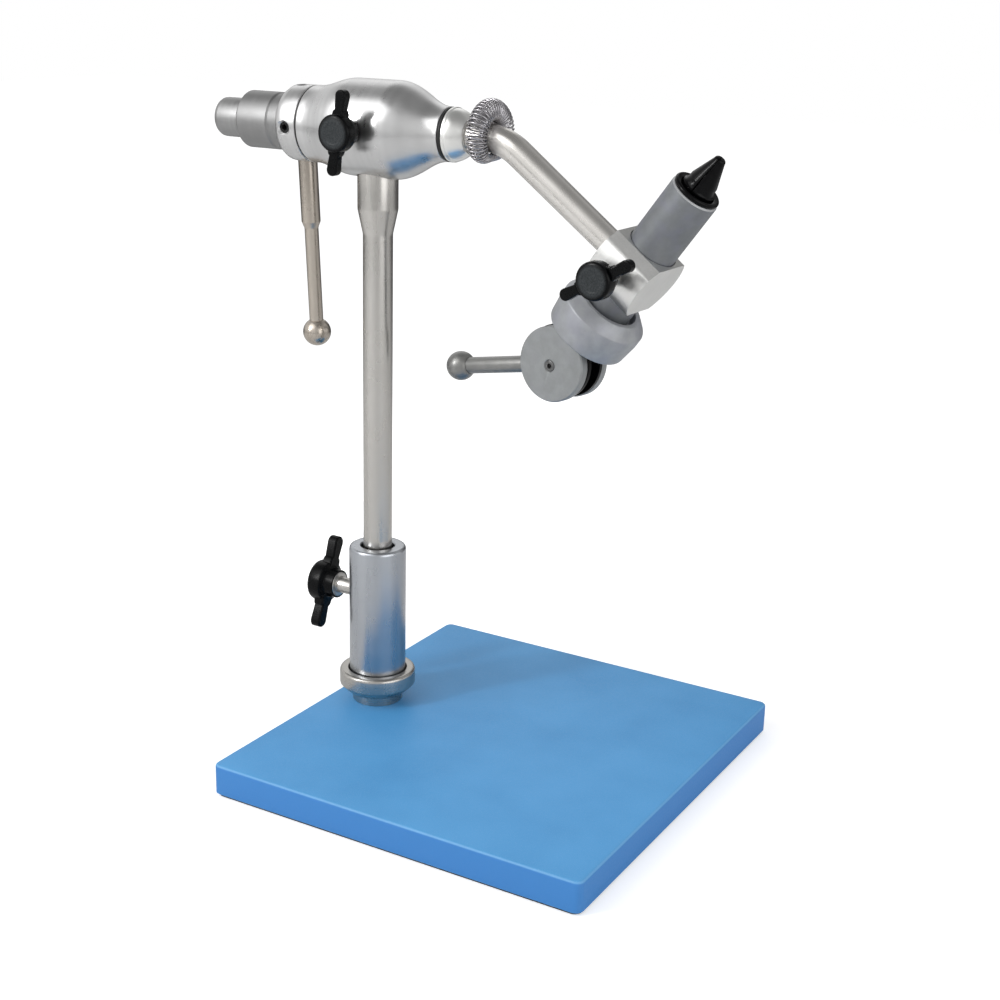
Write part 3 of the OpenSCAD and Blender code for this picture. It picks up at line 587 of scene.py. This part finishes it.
def makeBase():
    v = read(baseValues)
    low, high = v.lift, v.lift + v.thick
    half = (v.length / 2, v.width / 2)
    plate = brick((-half[0], -half[1], low), (half[0], half[1], high))
    pick(plate, lambda ends: abs(ends[0].z - ends[1].z) > 1)
    bpy.ops.mesh.bevel(offset=v.corner * mm, segments=8, affect="EDGES")
    pick(plate, lambda ends: min(end.z for end in ends) > high - 0.01)
    bpy.ops.mesh.bevel(offset=v.bevel * mm, segments=3, affect="EDGES")
    pick(plate, lambda ends: max(end.z for end in ends) < low + 0.01)
    bpy.ops.mesh.bevel(offset=v.under * mm, segments=1, affect="EDGES")
    finished(plate)
    cut(plate, drill(v.boltHole, 0, high + 1, upright), drill(v.headHole, 0, v.headDepth + low, upright))
    dress(finished(plate), "base", "base_plate", blueCoat, "basePlate")

    spread = [edge - v.padInset for edge in half]
    pad = brick((-spread[0], -spread[1], 0), (*spread, low))
    pick(pad, lambda ends: abs(ends[0].z - ends[1].z) > 0.5)
    bpy.ops.mesh.bevel(offset=v.corner * mm, segments=8, affect="EDGES")
    pick(pad, lambda ends: max(end.z for end in ends) < 0.01)
    bpy.ops.mesh.bevel(offset=v.under * mm, segments=2, affect="EDGES")
    cut(finished(pad), drill(v.padHole, -1, low + 1, upright))
    dress(finished(pad), "base", "base_pad", padRubber, "basePad")


postValues = dict(
    radius=11.1, bore=5.6, foot=22.5, floor=28.5, top=77.5, mouth=0.4, gap=1.0, gapDepth=5, edge=1.6,
    boltHole=4.05, screwHole=3.95)
footValues = dict(
    boss=9.9, bossLow=12.7, bossHigh=16.7, radius=15, bevel=3.2, top=26, edge=1.6, seat=11.6, floor=22.5,
    hole=4.05)
boltValues = dict(head=6.4, radius=4, low=1.5, headHigh=7.1, high=27.5, key=3, keyHigh=4.3)


def makePost():
    v = read(postValues)
    outline = [(v.boltHole, v.foot), (v.radius, v.foot), (v.radius, v.top, v.edge),
               (v.bore + v.gap + v.mouth, v.top, 0.12), (v.bore + v.gap, v.top - v.mouth, 0.2),
               (v.bore + v.gap, v.top - v.gapDepth), (v.bore, v.top - v.gapDepth), (v.bore, v.floor),
               (v.boltHole, v.floor)]
    post = turned("post", outline, upright, 0.3, 128)
    cut(post, drill(v.screwHole, 0, v.radius - 0.15, postKnobPlace, 0.4))
    dress(finished(post), "base", "post", postMetal, "clampPost")

    v = read(footValues)
    outline = [(v.hole, v.bossLow), (v.boss, v.bossLow), (v.boss, v.bossHigh, 0.6),
               (v.radius - v.bevel, v.bossHigh, 0.5), (v.radius, v.bossHigh + v.bevel, 0.7),
               (v.radius, v.top, v.edge), (v.seat, v.top, 0.3), (v.seat, v.floor), (v.hole, v.floor)]
    dress(turned("footRing", outline, upright, 0.25, 128), "base", "foot_ring", footMetal)

    v = read(boltValues)
    grooves = threaded(v.radius, v.headHigh, v.high, 1.25, 0.4)[1:]
    outline = [(0, v.low), (v.head, v.low, 0.6), (v.head, v.headHigh, 0.3)] + grooves
    bolt = turned("postBolt", outline, upright, 0.3, 64)
    cut(bolt, prism(6, v.key, v.low - 1, v.keyHigh, upright))
    dress(finished(bolt), "base", "post_bolt", shaftMetal)


stemValues = dict(
    radius=5.55, headRadius=7.5, low=40, taperLow=198.7, taperHigh=207.7, top=221.4, edge=0.8, tenon=5,
    tenonTop=224.7)


def makeStem():
    v = read(stemValues)
    outline = [(0, v.low), (v.radius, v.low, v.edge), (v.radius, v.taperLow, 6),
               (v.headRadius, v.taperHigh, 5), (v.headRadius, v.top, 0.35), (v.tenon, v.top, 0.3),
               (v.tenon, v.tenonTop, 0.5), (0, v.tenonTop)]
    dress(turned("stem", outline, upright, 0.3, 96), "stem", "stem", stemMetal)


housingValues = dict(
    rear=13.9, belly=17.39, nose=9.6, length=57.4, shoulderFrom=1.6, shoulderTo=18.6, noseFrom=35.6, bore=8.03,
    seat=7.95, seatLow=212, seatTop=221.7, tenonHole=5.05, tenonTop=225, screwHole=2.95, steps=28)


def makeHousing():
    v = read(housingValues)
    wave = [(1 - math.cos(math.pi * i / v.steps)) / 2 for i in range(v.steps + 1)]
    along = [i / v.steps for i in range(v.steps + 1)]
    shoulder = [(v.rear + (v.belly - v.rear) * w,
                 v.shoulderFrom + (v.shoulderTo - v.shoulderFrom) * t, 0) for w, t in zip(wave, along)]
    nose = [(v.belly + (v.nose - v.belly) * w,
             v.noseFrom + (v.length - v.noseFrom) * t, 0) for w, t in zip(wave, along)]
    nose[-1] = (v.nose, v.length, 0.35)
    outline = [(v.bore, 0, 0.3), (v.rear, 0, 0.45), *shoulder, *nose, (v.bore, v.length, 0.2)]
    body = turned("housing", outline, alongAxis(where.housingRearX, head), 0.25, 144)
    cut(body, drill(v.seat, v.seatLow, v.seatTop, upright, 0, 96),
        drill(v.tenonHole, v.seatLow, v.tenonTop, upright),
        drill(v.screwHole, 0, v.belly - 0.1, dragPlace, 0.35))
    dress(finished(body), "head", "housing", housingMetal, "housing")


sealValues = dict(middle=8.85, radius=0.72, at=0.8)
hubValues = dict(
    rear=9.6, front=6.3, length=7, lip=1.0, lipStep=0.35, curve=1.6, neck=8.1, neckBack=-1.5, shaftHole=6.03,
    armHole=5.03, seat=4.43, steps=20)


def makeHub():
    v = read(sealValues)
    ring = arc(v.middle, 0, v.radius, 0, 360, 24)
    seal = turned("noseSeal", ring[:-1], alongAxis(where.housingFrontX + v.at), 0, 128)
    dress(seal, "head", "nose_seal", sealRubber)

    v = read(hubValues)
    along = [i / v.steps for i in range(v.steps + 1)]
    swell = v.rear - v.lipStep
    curve = [(swell - (swell - v.front) * t ** v.curve,
              v.lip + v.lipStep + (v.length - v.lip - v.lipStep) * t, 0) for t in along]
    curve[-1] = (v.front, v.length, 0.4)
    outline = [(v.shaftHole, v.neckBack), (v.neck, v.neckBack), (v.neck, 0), (v.rear, 0, 0.3),
               (v.rear, v.lip, 0.25), *curve,
               (v.armHole, v.length, 0.25), (v.armHole, v.seat), (v.shaftHole, v.seat)]
    dress(turned("noseHub", outline, alongAxis(where.hubX), 0.2, 128),
          "rotor", "nose_hub", hubMetal)


armValues = dict(
    spigot=3.5, start=-38.2, step=-22.14, radius=5, bendFrom=-13.875, bend=22, drop=38, straight=45.368, seat=3,
    endRadius=4.8, sides=72)


def makeArm():
    # a ring of points is pulled along the axis, spun round the bend and pulled on to the block
    v = read(armValues)
    clear()
    bpy.ops.mesh.primitive_circle_add(vertices=v.sides, radius=v.spigot * mm)
    arm = placed(bpy.context.object, shift(x=v.start) @ turn(90, "Y"))
    edit(arm)

    def swell(factor, x, z=0):
        bpy.ops.transform.resize(value=(factor,) * 3, center_override=(x * mm, 0, z * mm))

    pull(((v.step - v.start) * mm, 0, 0))
    pull((0, 0, 0))
    swell(v.radius / v.spigot, v.step)
    pull(((v.bendFrom - v.step) * mm, 0, 0))
    bpy.ops.mesh.spin(steps=40, angle=math.radians(v.drop), center=(v.bendFrom * mm, 0, -v.bend * mm),
                      axis=(0, -1, 0))
    drop = math.radians(v.drop)
    endX = v.bendFrom + v.bend * math.sin(drop)
    endZ = -v.bend * (1 - math.cos(drop))
    for length in (v.straight, v.seat):
        along, down = length * math.cos(drop), length * math.sin(drop)
        pull((along * mm, 0, -down * mm))
        endX, endZ = endX + along, endZ - down
        if length == v.straight:
            swell(v.endRadius / v.radius, endX, endZ)
    edit(arm)
    bpy.ops.mesh.fill_holes(sides=0)
    dress(placed(finished(arm), rotor), "rotor", "bent_arm", armMetal, "bentArm")


springValues = dict(curls=48, wire=0.35, curl=4, join=1.5, inner=5.4, draw=4, at=-11.9, rings=24)


def makeSpring():
    # one endless wire: it winds round a ring that hangs on the arm, and draws in where it is joined
    v = read(springValues)
    points = []
    count = v.curls * v.rings
    for i in range(count):
        around = math.tau * i / count
        low = ((1 - math.cos(around)) / 2) ** v.draw
        curl = v.curl + (v.join - v.curl) * low - v.wire
        middle = v.inner + v.wire + curl
        winding = math.tau * i / v.rings
        reach = middle + curl * math.cos(winding)
        points.append((curl * math.sin(winding), -reach * math.sin(around), reach * math.cos(around)))
    dress(wound("materialSpring", points, v.wire, True, rotor @ shift(x=v.at)),
          "rotor", "material_spring", springMetal)


collarValues = dict(
    bore=5.03, radius=13.9, length=10, round=3.52, crankHole=3.63, screwHole=2.03, screw=2, screwLow=5.06,
    screwTop=12.8, key=1.2, keyDepth=1.8)
sleeveValues = dict(
    bore=5.03, radius=10.5, length=20.4, bevel=1.2, groove=14.4, grooveDepth=0.4, spigotHole=6.03, spigot=3)
capValues = dict(radius=7.3, length=12.8, round=2.24, spigot=6, spigotLength=2.97)


def makeRear():
    v = read(collarValues)
    outline = [(v.bore, 0), (v.radius, 0, v.round), (v.radius, v.length, 0.4), (v.bore, v.length)]
    collar = turned("crankCollar", outline, alongAxis(where.sleeveX), 0.2, 144)
    cut(collar, drill(v.crankHole, v.radius - 4, v.radius - 0.2, collarPlace(180), 0.7),
        drill(v.screwHole, v.bore - 0.1, v.radius - 0.1, collarPlace(0), 0.8),
        drill(v.screwHole, v.bore - 0.1, v.radius - 0.1, collarPlace(90), 0.8))
    dress(finished(collar), "rotor", "crank_collar", rotorMetal)

    screws = []
    for angle in (0, 90):
        outline = [(0, v.screwLow), (v.screw, v.screwLow, 0.4), (v.screw, v.screwTop, 0.3), (0, v.screwTop)]
        screw = turned("setScrew", outline, collarPlace(angle), 0.2, 48)
        cut(screw, prism(6, v.key, v.screwTop - v.keyDepth, v.screwTop + 1, collarPlace(angle)))
        screws.append(finished(screw))
    choose(*screws)
    bpy.ops.object.join()
    dress(screws[0], "rotor", "collar_screws", screwOxide, "collarScrews")

    v = read(sleeveValues)
    outline = [(v.spigotHole, 0), (v.radius - v.bevel, 0, 0.4), (v.radius, v.bevel, 0.5),
               (v.radius, v.groove, 0.15), (v.radius - v.grooveDepth, v.groove + 2 * v.grooveDepth, 0.15),
               (v.radius, v.length - v.grooveDepth, 0.3), (v.radius - 0.3, v.length), (v.bore, v.length),
               (v.bore, v.spigot), (v.spigotHole, v.spigot)]
    dress(turned("rearSleeve", outline, alongAxis(where.capX), 0.15, 144),
          "rotor", "rear_sleeve", sleeveMetal)

    v = read(capValues)
    outline = [(0, -v.length), (v.radius, -v.length, v.round), (v.radius, 0, 0.25), (v.spigot, 0),
               (v.spigot, v.spigotLength), (0, v.spigotLength)]
    dress(turned("endCap", outline, alongAxis(where.capX), 0.2, 128),
          "rotor", "end_cap", capMetal)


def ballOutline(radius, hole, floor):
    # a ball with a blind hole from below for its rod
    edge = -math.degrees(math.acos(hole / radius))
    skin = arc(0, 0, radius, 90, edge, 28)[:-1]
    return [*skin, (hole, -math.sqrt(radius ** 2 - hole ** 2), 0.2), (hole, floor), (0, floor)]


crankValues = dict(
    low=9.93, thick=3.6, thickTop=36.6, thinFrom=39, thin=2.65, top=78.275, ball=5.4, ballAt=79.6, hole=2.68,
    floor=-1.265)
leverValues = dict(low=8.43, rod=3.05, top=45.075, ball=5.45, ballAt=46.6, hole=3.08, floor=-1.465)


def makeHandles():
    v = read(crankValues)
    outline = [(0, v.low), (v.thick, v.low), (v.thick, v.thickTop, 1.2), (v.thin, v.thinFrom, 1.2),
               (v.thin, v.top), (0, v.top)]
    place = collarPlace(180)
    dress(turned("crankRod", outline, place, 0.2, 72), "rotor", "crank_rod", crankMetal)
    ball = turned("crankBall", ballOutline(v.ball, v.hole, v.floor), place @ shift(z=v.ballAt), 0, 72)
    dress(ball, "rotor", "crank_ball", crankMetal)

    v = read(leverValues)
    outline = [(0, v.low), (v.rod, v.low), (v.rod, v.top), (0, v.top)]
    dress(turned("leverRod", outline, leverPlace, 0.2, 72),
          "cam_lever", "lever_rod", leverMetal)
    ball = turned("leverBall", ballOutline(v.ball, v.hole, v.floor), leverPlace @ shift(z=v.ballAt), 0, 72)
    dress(ball, "cam_lever", "lever_ball", leverMetal)


knobValues = dict(
    hub=6.6, depth=9.6, rimDepth=4.2, edge=0.8, faceRound=1.6, stand=0.8, dome=0.3, dish=3.9, dishDepth=0.22,
    bossTop=4.75, bossLow=4.36, wingTip=12.85, wingHalf=2.15, waist=1.75, waistAt=8, root=2.7, rootAt=6,
    wingLow=-4.7, wingHigh=-1.2, wingEdge=0.5, hole=2.93, holeTop=-3, postScale=1.24, bossCut=2.1,
    bossCutRadius=9, insertHole=4.93, insertDepth=2.63, faceRadius=5.8, postFaceRadius=7.2, dragFace=27.3,
    postFace=28.304, blockFace=26.1, dragTurn=81.3, postTurn=22, blockTurn=64.7)


def makeKnobs():
    # one wing knob is modelled with its face at zero, then copied to its three places
    v = read(knobValues)
    outline = [(0, v.stand - v.dishDepth), (v.dish - 0.5, v.stand - v.dishDepth, 0.3),
               (v.dish, v.stand - 0.06, 0.25), (v.hub, v.stand - v.dome, v.faceRound),
               (v.hub, -v.rimDepth, 0.4), (v.bossTop, -v.rimDepth - v.edge, 0.6),
               (v.bossLow, -v.depth, 0.5), (0, -v.depth)]
    knob = turned("knob", outline, Matrix(), 0.3, 96)
    tip = [(v.wingTip + v.wingHalf * math.cos(a), v.wingHalf * math.sin(a))
           for a in (math.radians(-90 + 15 * i) for i in range(13))]
    flare = [(v.rootAt + (v.waistAt - v.rootAt) * math.sin(a),
              v.root + (v.waist - v.root) * (1 - math.cos(a)) ** 0.8)
             for a in (math.pi / 2 * (1 - i / 6) for i in range(7))]
    points = [(0, -v.root), *[(x, -y) for x, y in reversed(flare)], *tip, *flare, (0, v.root)]
    for side in (0, 180):
        wing = slab("wing", points, v.wingLow, v.wingHigh)
        pick(wing, lambda ends: abs(ends[0].z - ends[1].z) < 0.01 and max(end.x for end in ends) > 0.1)
        bpy.ops.mesh.bevel(offset=v.wingEdge * mm, segments=3, affect="EDGES")
        combined(knob, "UNION", placed(finished(wing), turn(side, "Z")))
    cut(knob, drill(v.hole, -v.depth - 1, v.holeTop))
    finished(knob)
    places = dict(
        drag=dragPlace @ shift(z=v.dragFace) @ turn(v.dragTurn, "Z"),
        post=postKnobPlace @ shift(z=v.postFace) @ turn(v.postTurn, "Z"),
        block=blockKnobPlace @ shift(z=v.blockFace) @ turn(v.blockTurn, "Z"))
    for label, place in places.items():
        twin = knob.copy()
        twin.data = knob.data.copy()
        bpy.context.scene.collection.objects.link(twin)
        if label == "post":
            placed(twin, Matrix.Scale(v.postScale, 4))
            depth = v.depth * v.postScale
            cut(twin, drill(v.insertHole, -depth - 1, v.insertDepth - depth),
                drill(v.bossCutRadius, -depth - 1, v.bossCut - depth))
        placed(finished(twin), place)
        face = v.postFaceRadius if label == "post" else v.faceRadius
        plastic = mouldedPlastic(label + "Plastic", dict(knobFinish, face=face), place)
        dress(twin, label + "_knob", label + "_knob", plastic, label + "Knob")
    bpy.data.objects.remove(knob)


insertValues = dict(
    low=5.65, screw=3.9, neckFrom=10.6, neck=3.2, ledge=18.2, radius=4.9, top=19, stud=3.596, studTop=24.554)
screwValues = dict(radius=2.9, pitch=1, depth=0.3, dragLow=9.5, dragTop=24.27, blockLow=10.8, blockTop=23.07)


def makeScrews():
    v = read(insertValues)
    outline = [(0, v.low), (v.screw, v.low, 0.5), (v.screw, v.neckFrom, 0.3), (v.neck, v.neckFrom, 0.2),
               (v.neck, v.ledge, 0.3), (v.radius, v.ledge, 0.5), (v.radius, v.top, 0.2),
               (v.stud, v.top), (v.stud, v.studTop), (0, v.studTop)]
    dress(turned("postKnobScrew", outline, postKnobPlace, 0.2, 96),
          "post_knob", "post_knob_screw", insertMetal)
    for label, place in (("drag", dragPlace), ("block", blockKnobPlace)):
        outline = threaded(screwValues["radius"], screwValues[label + "Low"], screwValues[label + "Top"],
                           screwValues["pitch"], screwValues["depth"])
        dress(turned(label + "Screw", outline, place, 0, 48),
              label + "_knob", label + "_screw", insertMetal)


blockValues = dict(
    radius=13, back=-10.4, front=10.1, topFlat=9.3, lowFlat=10.8, slantFlat=12.2, slant=42, edge=0.3,
    barrelHole=8.8, seamHole=9.1, seamDepth=2.2, reach=30, armHole=4.83, armFrom=45.543, armTo=55.973,
    screwHole=2.95, screwFrom=4.4, screwTo=26)


def sliced(piece, place, normal, distance):
    # keeps what lies within the distance along the normal
    direction = place.to_3x3() @ Vector(normal).normalized()
    spot = place.to_translation() + direction * distance * mm
    edit(piece)
    bpy.ops.mesh.bisect(plane_co=spot, plane_no=direction, use_fill=True, clear_outer=True)
    clear()
    return piece


def makeBlock():
    v = read(blockValues)
    outline = [(0, v.back), (v.radius, v.back), (v.radius, v.front), (0, v.front)]
    block = turned("clampBlock", outline, blockPlace, 0, 160)
    slope = math.radians(v.slant - 90)
    sliced(block, blockPlace, (-1, 0, 0), v.topFlat)
    sliced(block, blockPlace, (1, 0, 0), v.lowFlat)
    sliced(block, blockPlace, (math.sin(slope), -math.cos(slope), 0), v.slantFlat)
    finished(block)
    eased(block, v.edge)
    cut(block, drill(v.barrelHole, -where.blockMid - v.reach, -where.blockMid + v.reach, jaw, 0, 128),
        drill(v.seamHole, v.topFlat - v.seamDepth - where.blockMid, v.reach - where.blockMid, jaw, 0, 128),
        drill(v.armHole, v.armFrom, v.armTo, armPlace, 0, 72),
        drill(v.screwHole, v.screwFrom, v.screwTo, blockKnobPlace))
    dress(finished(block), "rotor", "clamp_block", blockMetal)


barrelValues = dict(
    radius=8.75, low=-74, high=-14.6, lip=0.5, jawBore=6.3, shoulder=-44.3, rimBore=7.43, rimFloor=-17.03,
    barHole=3.05)
rimValues = dict(hole=6.35, wall=7.4, low=-17, step=-14.6, middle=7.65, lip=0.85)
jawValues = dict(
    tip=2.1, tipRound=1.3, waist=5.0, flare=6.1, waistShare=0.657, flareShare=0.2, top=14.6, root=5.6,
    rootLow=-23.9, slit=0.175, edge=0.12)
returnValues = dict(low=-44, high=-27.9, middle=4.5, wire=0.75, turns=7, dead=1)


def makeBarrel():
    v = read(barrelValues)
    outline = [(v.barHole, v.low), (v.radius, v.low, 0.4), (v.radius, v.high - v.lip, 0.1),
               (v.radius - v.lip, v.high, 0.1), (v.rimBore, v.high), (v.rimBore, v.rimFloor),
               (v.jawBore, v.rimFloor), (v.jawBore, v.shoulder), (v.barHole, v.shoulder)]
    dress(turned("jawBarrel", outline, jaw, 0.2, 128), "barrel", "jaw_barrel", barrelMetal)

    v = read(rimValues)
    outline = [(v.hole, v.low), (v.wall, v.low), (v.wall, v.step),
               *arc(v.middle, v.step + v.lip, v.lip, -90, 90, 16), (v.hole, v.step + 1.5 * v.lip, 0.3)]
    dress(turned("noseRim", outline, jaw, 0.15, 128), "barrel", "nose_rim", jawOxide)

    v = read(jawValues)
    flare = [(v.waist + (v.flare - v.waist) * (1 - math.cos(a)),
              -v.top * (v.waistShare + v.flareShare * math.sin(a)), 0)
             for a in (math.pi / 2 * i / 14 for i in range(15))]
    outline = [(0, 0), *arc(v.tip - v.tipRound, -v.tipRound, v.tipRound, 90, 0, 6), *flare,
               (v.root, -v.top, 0.3), (v.root, v.rootLow, 0.4), (0, v.rootLow)]
    for node, side in (("upper_jaw", 1), ("lower_jaw", -1)):
        half = turned(node, outline, jaw, 0.2, 128)
        sliced(half, jaw, (side, 0, 0), -v.slit)
        finished(half)
        eased(half, v.edge, 50)
        dress(half, node, node, jawOxide, "upperJaw" if side > 0 else "lowerJaw")

    v = read(returnValues)
    points = []
    steps = 20
    # a dead turn at each end climbs by the wire's own thickness, the turns between by the rest
    for i in range(v.turns * steps + 1):
        turnsDone = i / steps
        rise = min(max(turnsDone - v.dead, 0) / (v.turns - 2 * v.dead), 1)
        height = v.low + v.wire + rise * (v.high - v.low - 2 * v.wire - 4 * v.wire)
        height += 2 * v.wire * (min(turnsDone, v.dead) + max(turnsDone - v.turns + v.dead, 0))
        angle = math.tau * turnsDone
        points.append((v.middle * math.cos(angle), v.middle * math.sin(angle), height))
    dress(wound("returnSpring", points, v.wire, False, jaw),
          "barrel", "return_spring", springMetal)


ringValues = dict(
    barHole=3.1, low=-80.7, radius=15.9, edge=0.9, taperTop=-72.7, bevelLow=-69.15, bevelTop=12.05, high=-65.3,
    mouth=10.3, recess=-69.1, seat=8.8, seatLow=-74.3)


def makeRing():
    v = read(ringValues)
    outline = [(v.barHole, v.low), (v.radius - v.edge, v.low, 1.0), (v.radius, v.taperTop, 1.5),
               (v.radius, v.bevelLow, 1.0), (v.bevelTop, v.high, 0.7), (v.mouth, v.high, 0.4),
               (v.mouth, v.recess, 0.6), (v.seat, v.recess), (v.seat, v.seatLow), (v.barHole, v.seatLow)]
    dress(turned("tensionRing", outline, jaw, 0.3, 144),
          "tension_ring", "tension_ring", ringMetal)


camValues = dict(
    radius=13.4, throw=1.5, half=4.4, edge=0.3, pinHole=2.03, slot=2.7, slotFrom=-4.3, slotTo=26.8, eye=4.9,
    leverHole=3.08, leverFrom=8.4, disc=13.5, discThrow=0.8, discLow=4.43, discHigh=8.03, bevel=0.5, pin=2,
    pinEnd=8, pinEdge=0.3, key=1, keyDepth=1.8)


def makeCam():
    v = read(camValues)
    lobe = camPlace @ shift(y=v.throw)
    outline = [(0, -v.half), (v.radius, -v.half, v.edge), (v.radius, v.half, v.edge), (0, v.half)]
    cam = turned("cam", outline, lobe, 0.3, 144)
    cut(cam, drill(v.pinHole, -2 * v.half, 2 * v.half, camPlace),
        brick((v.slotFrom, v.slotFrom, -v.slot), (v.slotTo, v.slotTo, v.slot), camPlace),
        drill(v.eye, -v.slot, v.slot, camPlace, 0, 96),
        drill(v.leverHole, v.leverFrom, v.radius + 4, leverPlace))
    dress(finished(cam), "cam_lever", "cam", camOxide)

    discs = []
    for side in (1, -1):
        low, high = side * v.discLow, side * v.discHigh
        step = side * v.bevel
        outline = [(0, low), (v.disc, low, 0.35), (v.disc, high - step, 0.12), (v.disc - v.bevel, high, 0.12),
                   (0, high)]
        disc = turned("disc", outline, camPlace @ shift(y=v.discThrow), 0.3, 160)
        hole = [(0, 0), (v.pinHole, 0), (v.pinHole, high - 0.7 * step), (v.pinHole + 0.35, high),
                (v.pinHole + 1.35, high + 2 * step), (0, high + 2 * step)]
        cut(disc, turned("cutter", hole, camPlace, 0, 48))
        discs.append(finished(disc))
    choose(*discs)
    bpy.ops.object.join()
    dress(discs[0], "cam_lever", "cam_discs", discMetal, "camDiscs")

    outline = [(0, -v.pinEnd), (v.pin, -v.pinEnd, v.pinEdge), (v.pin, v.pinEnd, v.pinEdge), (0, v.pinEnd)]
    pin = turned("camPin", outline, camPlace, 0.3, 48)
    cut(pin, prism(6, v.key, v.pinEnd - v.keyDepth, v.pinEnd + 1, camPlace),
        prism(6, v.key, -v.pinEnd - 1, v.keyDepth - v.pinEnd, camPlace))
    dress(finished(pin), "cam_lever", "cam_pin", pinOxide)


for stage in (makeBase, makePost, makeStem, makeHousing, makeHub, makeArm, makeSpring, makeRear, makeHandles,
              makeKnobs, makeScrews, makeBlock, makeBarrel, makeRing, makeCam):
    stage()
    print("done:", stage.__name__)

view = dict(place=(277.4, -489.75, 289.54), yaw=29.91, pitch=18.01, roll=1.46, lens=57.96)
studio = dict(
    floor=0.80, farFloor=0.10, floorGlow=0.5, ambient=0.50, bright=0.92, camera=0.55, above=0.28, behind=0.10,
    door=0.12)
lamps = dict(  # where each stands and what it faces, its size in metres and its power
    keyLight=((-0.45, -0.75, 1.0), (0, 0, 0.15), (1.1, 0.7), 4.2),
    fillLight=((1.2, -0.3, 0.45), (0, 0, 0.1), (1.2, 0.8), 5.2),
    backLight=((-0.6, 0.9, 1.0), (0, 0, 0.15), (0.9, 0.6), 0.8),
    sparkLight=((-0.6, -0.86, 0.66), (0.07, 0, 0.25), (0.12, 0.42), 4.5))


def facing(x, y):
    # how far a place or direction lies to the camera's right, and how far towards the camera
    yaw = math.radians(view["yaw"])
    return x * math.cos(yaw) + y * math.sin(yaw), x * math.sin(yaw) - y * math.cos(yaw)


def studioFloor():
    # pale near the vise and darker far behind it, which only metal sees: the camera sees white there
    clear()
    bpy.ops.mesh.primitive_plane_add(size=6, location=(0, 0, 0))
    floor = bpy.context.object
    floor.name = "studioFloor"
    f = finish("studioFloor")
    x, y = f.split(f.add("ShaderNodeTexCoord", out="Object"))[:2]
    behind = f.span(facing(x, y)[1], 1, 0, -0.7, -0.3)
    f.done(Base_Color=f.mix(behind, studio["floor"], studio["farFloor"]), Roughness=0.9)
    far = f.span((x * x + y * y) ** 0.5, studio["floorGlow"], 1, 0.12, 0.35)
    seen = f.add("ShaderNodeLightPath", out="Is Camera Ray")
    glow = f.add("ShaderNodeEmission", Color=1, Strength=seen * far)
    both = f.add("ShaderNodeAddShader", None, Signal(f, f.shader.outputs[0]), glow)
    f.plug(f.tree.nodes["Material Output"].inputs["Surface"], both)
    floor.data.materials.append(f.owner)


def studioWorld():
    # white for the camera; metal sees a room that is dimmer above, low behind, at one side and at the camera
    world = bpy.data.worlds.new("studioWorld")
    bpy.context.scene.world = world
    f = Graph(world, "Background")
    x, y, z = f.split(f.add("ShaderNodeTexCoord", out="Generated"))
    sideways, towards = facing(x, y)
    dim = f.span(towards * 0.82 + sideways * 0.57, 0, 1, 0.6, 0.95) * (1 - z * z)
    low = f.span(towards, 1, 0, -0.85, -0.35) * f.span(z, 1, 0, 0, 0.25)
    wall = f.span(sideways, 0, 1, 0.1, 0.5) * f.span(towards, 1, 0, -0.7, -0.4) * f.span(z, 1, 0, 0.6, 0.85)
    door = f.span(sideways, 0, 1, 0.78, 0.86) * f.span(sideways, 1, 0, 0.90, 0.95)
    room = f.mix(dim, studio["bright"], studio["camera"])
    room = f.mix(f.span(z, 0, 1, 0.45, 0.9), room, studio["above"])
    room = f.mix(wall, f.mix(low, room, studio["behind"]), studio["behind"])
    room = f.mix(door, room, studio["door"])
    direct, through, glossy = [f.add("ShaderNodeLightPath", out=f"Is {kind} Ray")
                               for kind in ("Camera", "Transmission", "Glossy")]
    f.done(Color=f.mix(direct + through, f.mix(glossy, studio["ambient"], room), 1), Strength=1)


def softbox(name, spot, target, size, power):
    clear()
    bpy.ops.object.light_add(type="AREA", location=spot)
    lamp = bpy.context.object
    lamp.name = name
    lamp.data.shape = "RECTANGLE"
    lamp.data.size, lamp.data.size_y = size
    lamp.data.energy = power
    lamp.rotation_euler = (Vector(target) - Vector(spot)).to_track_quat("-Z", "Y").to_euler()


def photoCamera():
    camera = bpy.data.objects.new("photoCamera", bpy.data.cameras.new("photoCamera"))
    bpy.context.scene.collection.objects.link(camera)
    camera.data.lens = view["lens"]
    camera.data.sensor_width = 36
    camera.data.clip_start = 0.01
    camera.matrix_world = (shift(*view["place"]) @ turn(view["yaw"], "Z")
                           @ turn(90 - view["pitch"], "X") @ turn(view["roll"], "Z"))
    bpy.context.scene.camera = camera


studioFloor()
studioWorld()
for lampName, lampPlace in lamps.items():
    softbox(lampName, *lampPlace)
photoCamera()
bpy.context.scene.view_settings.view_transform = "Standard"
print("stage set")
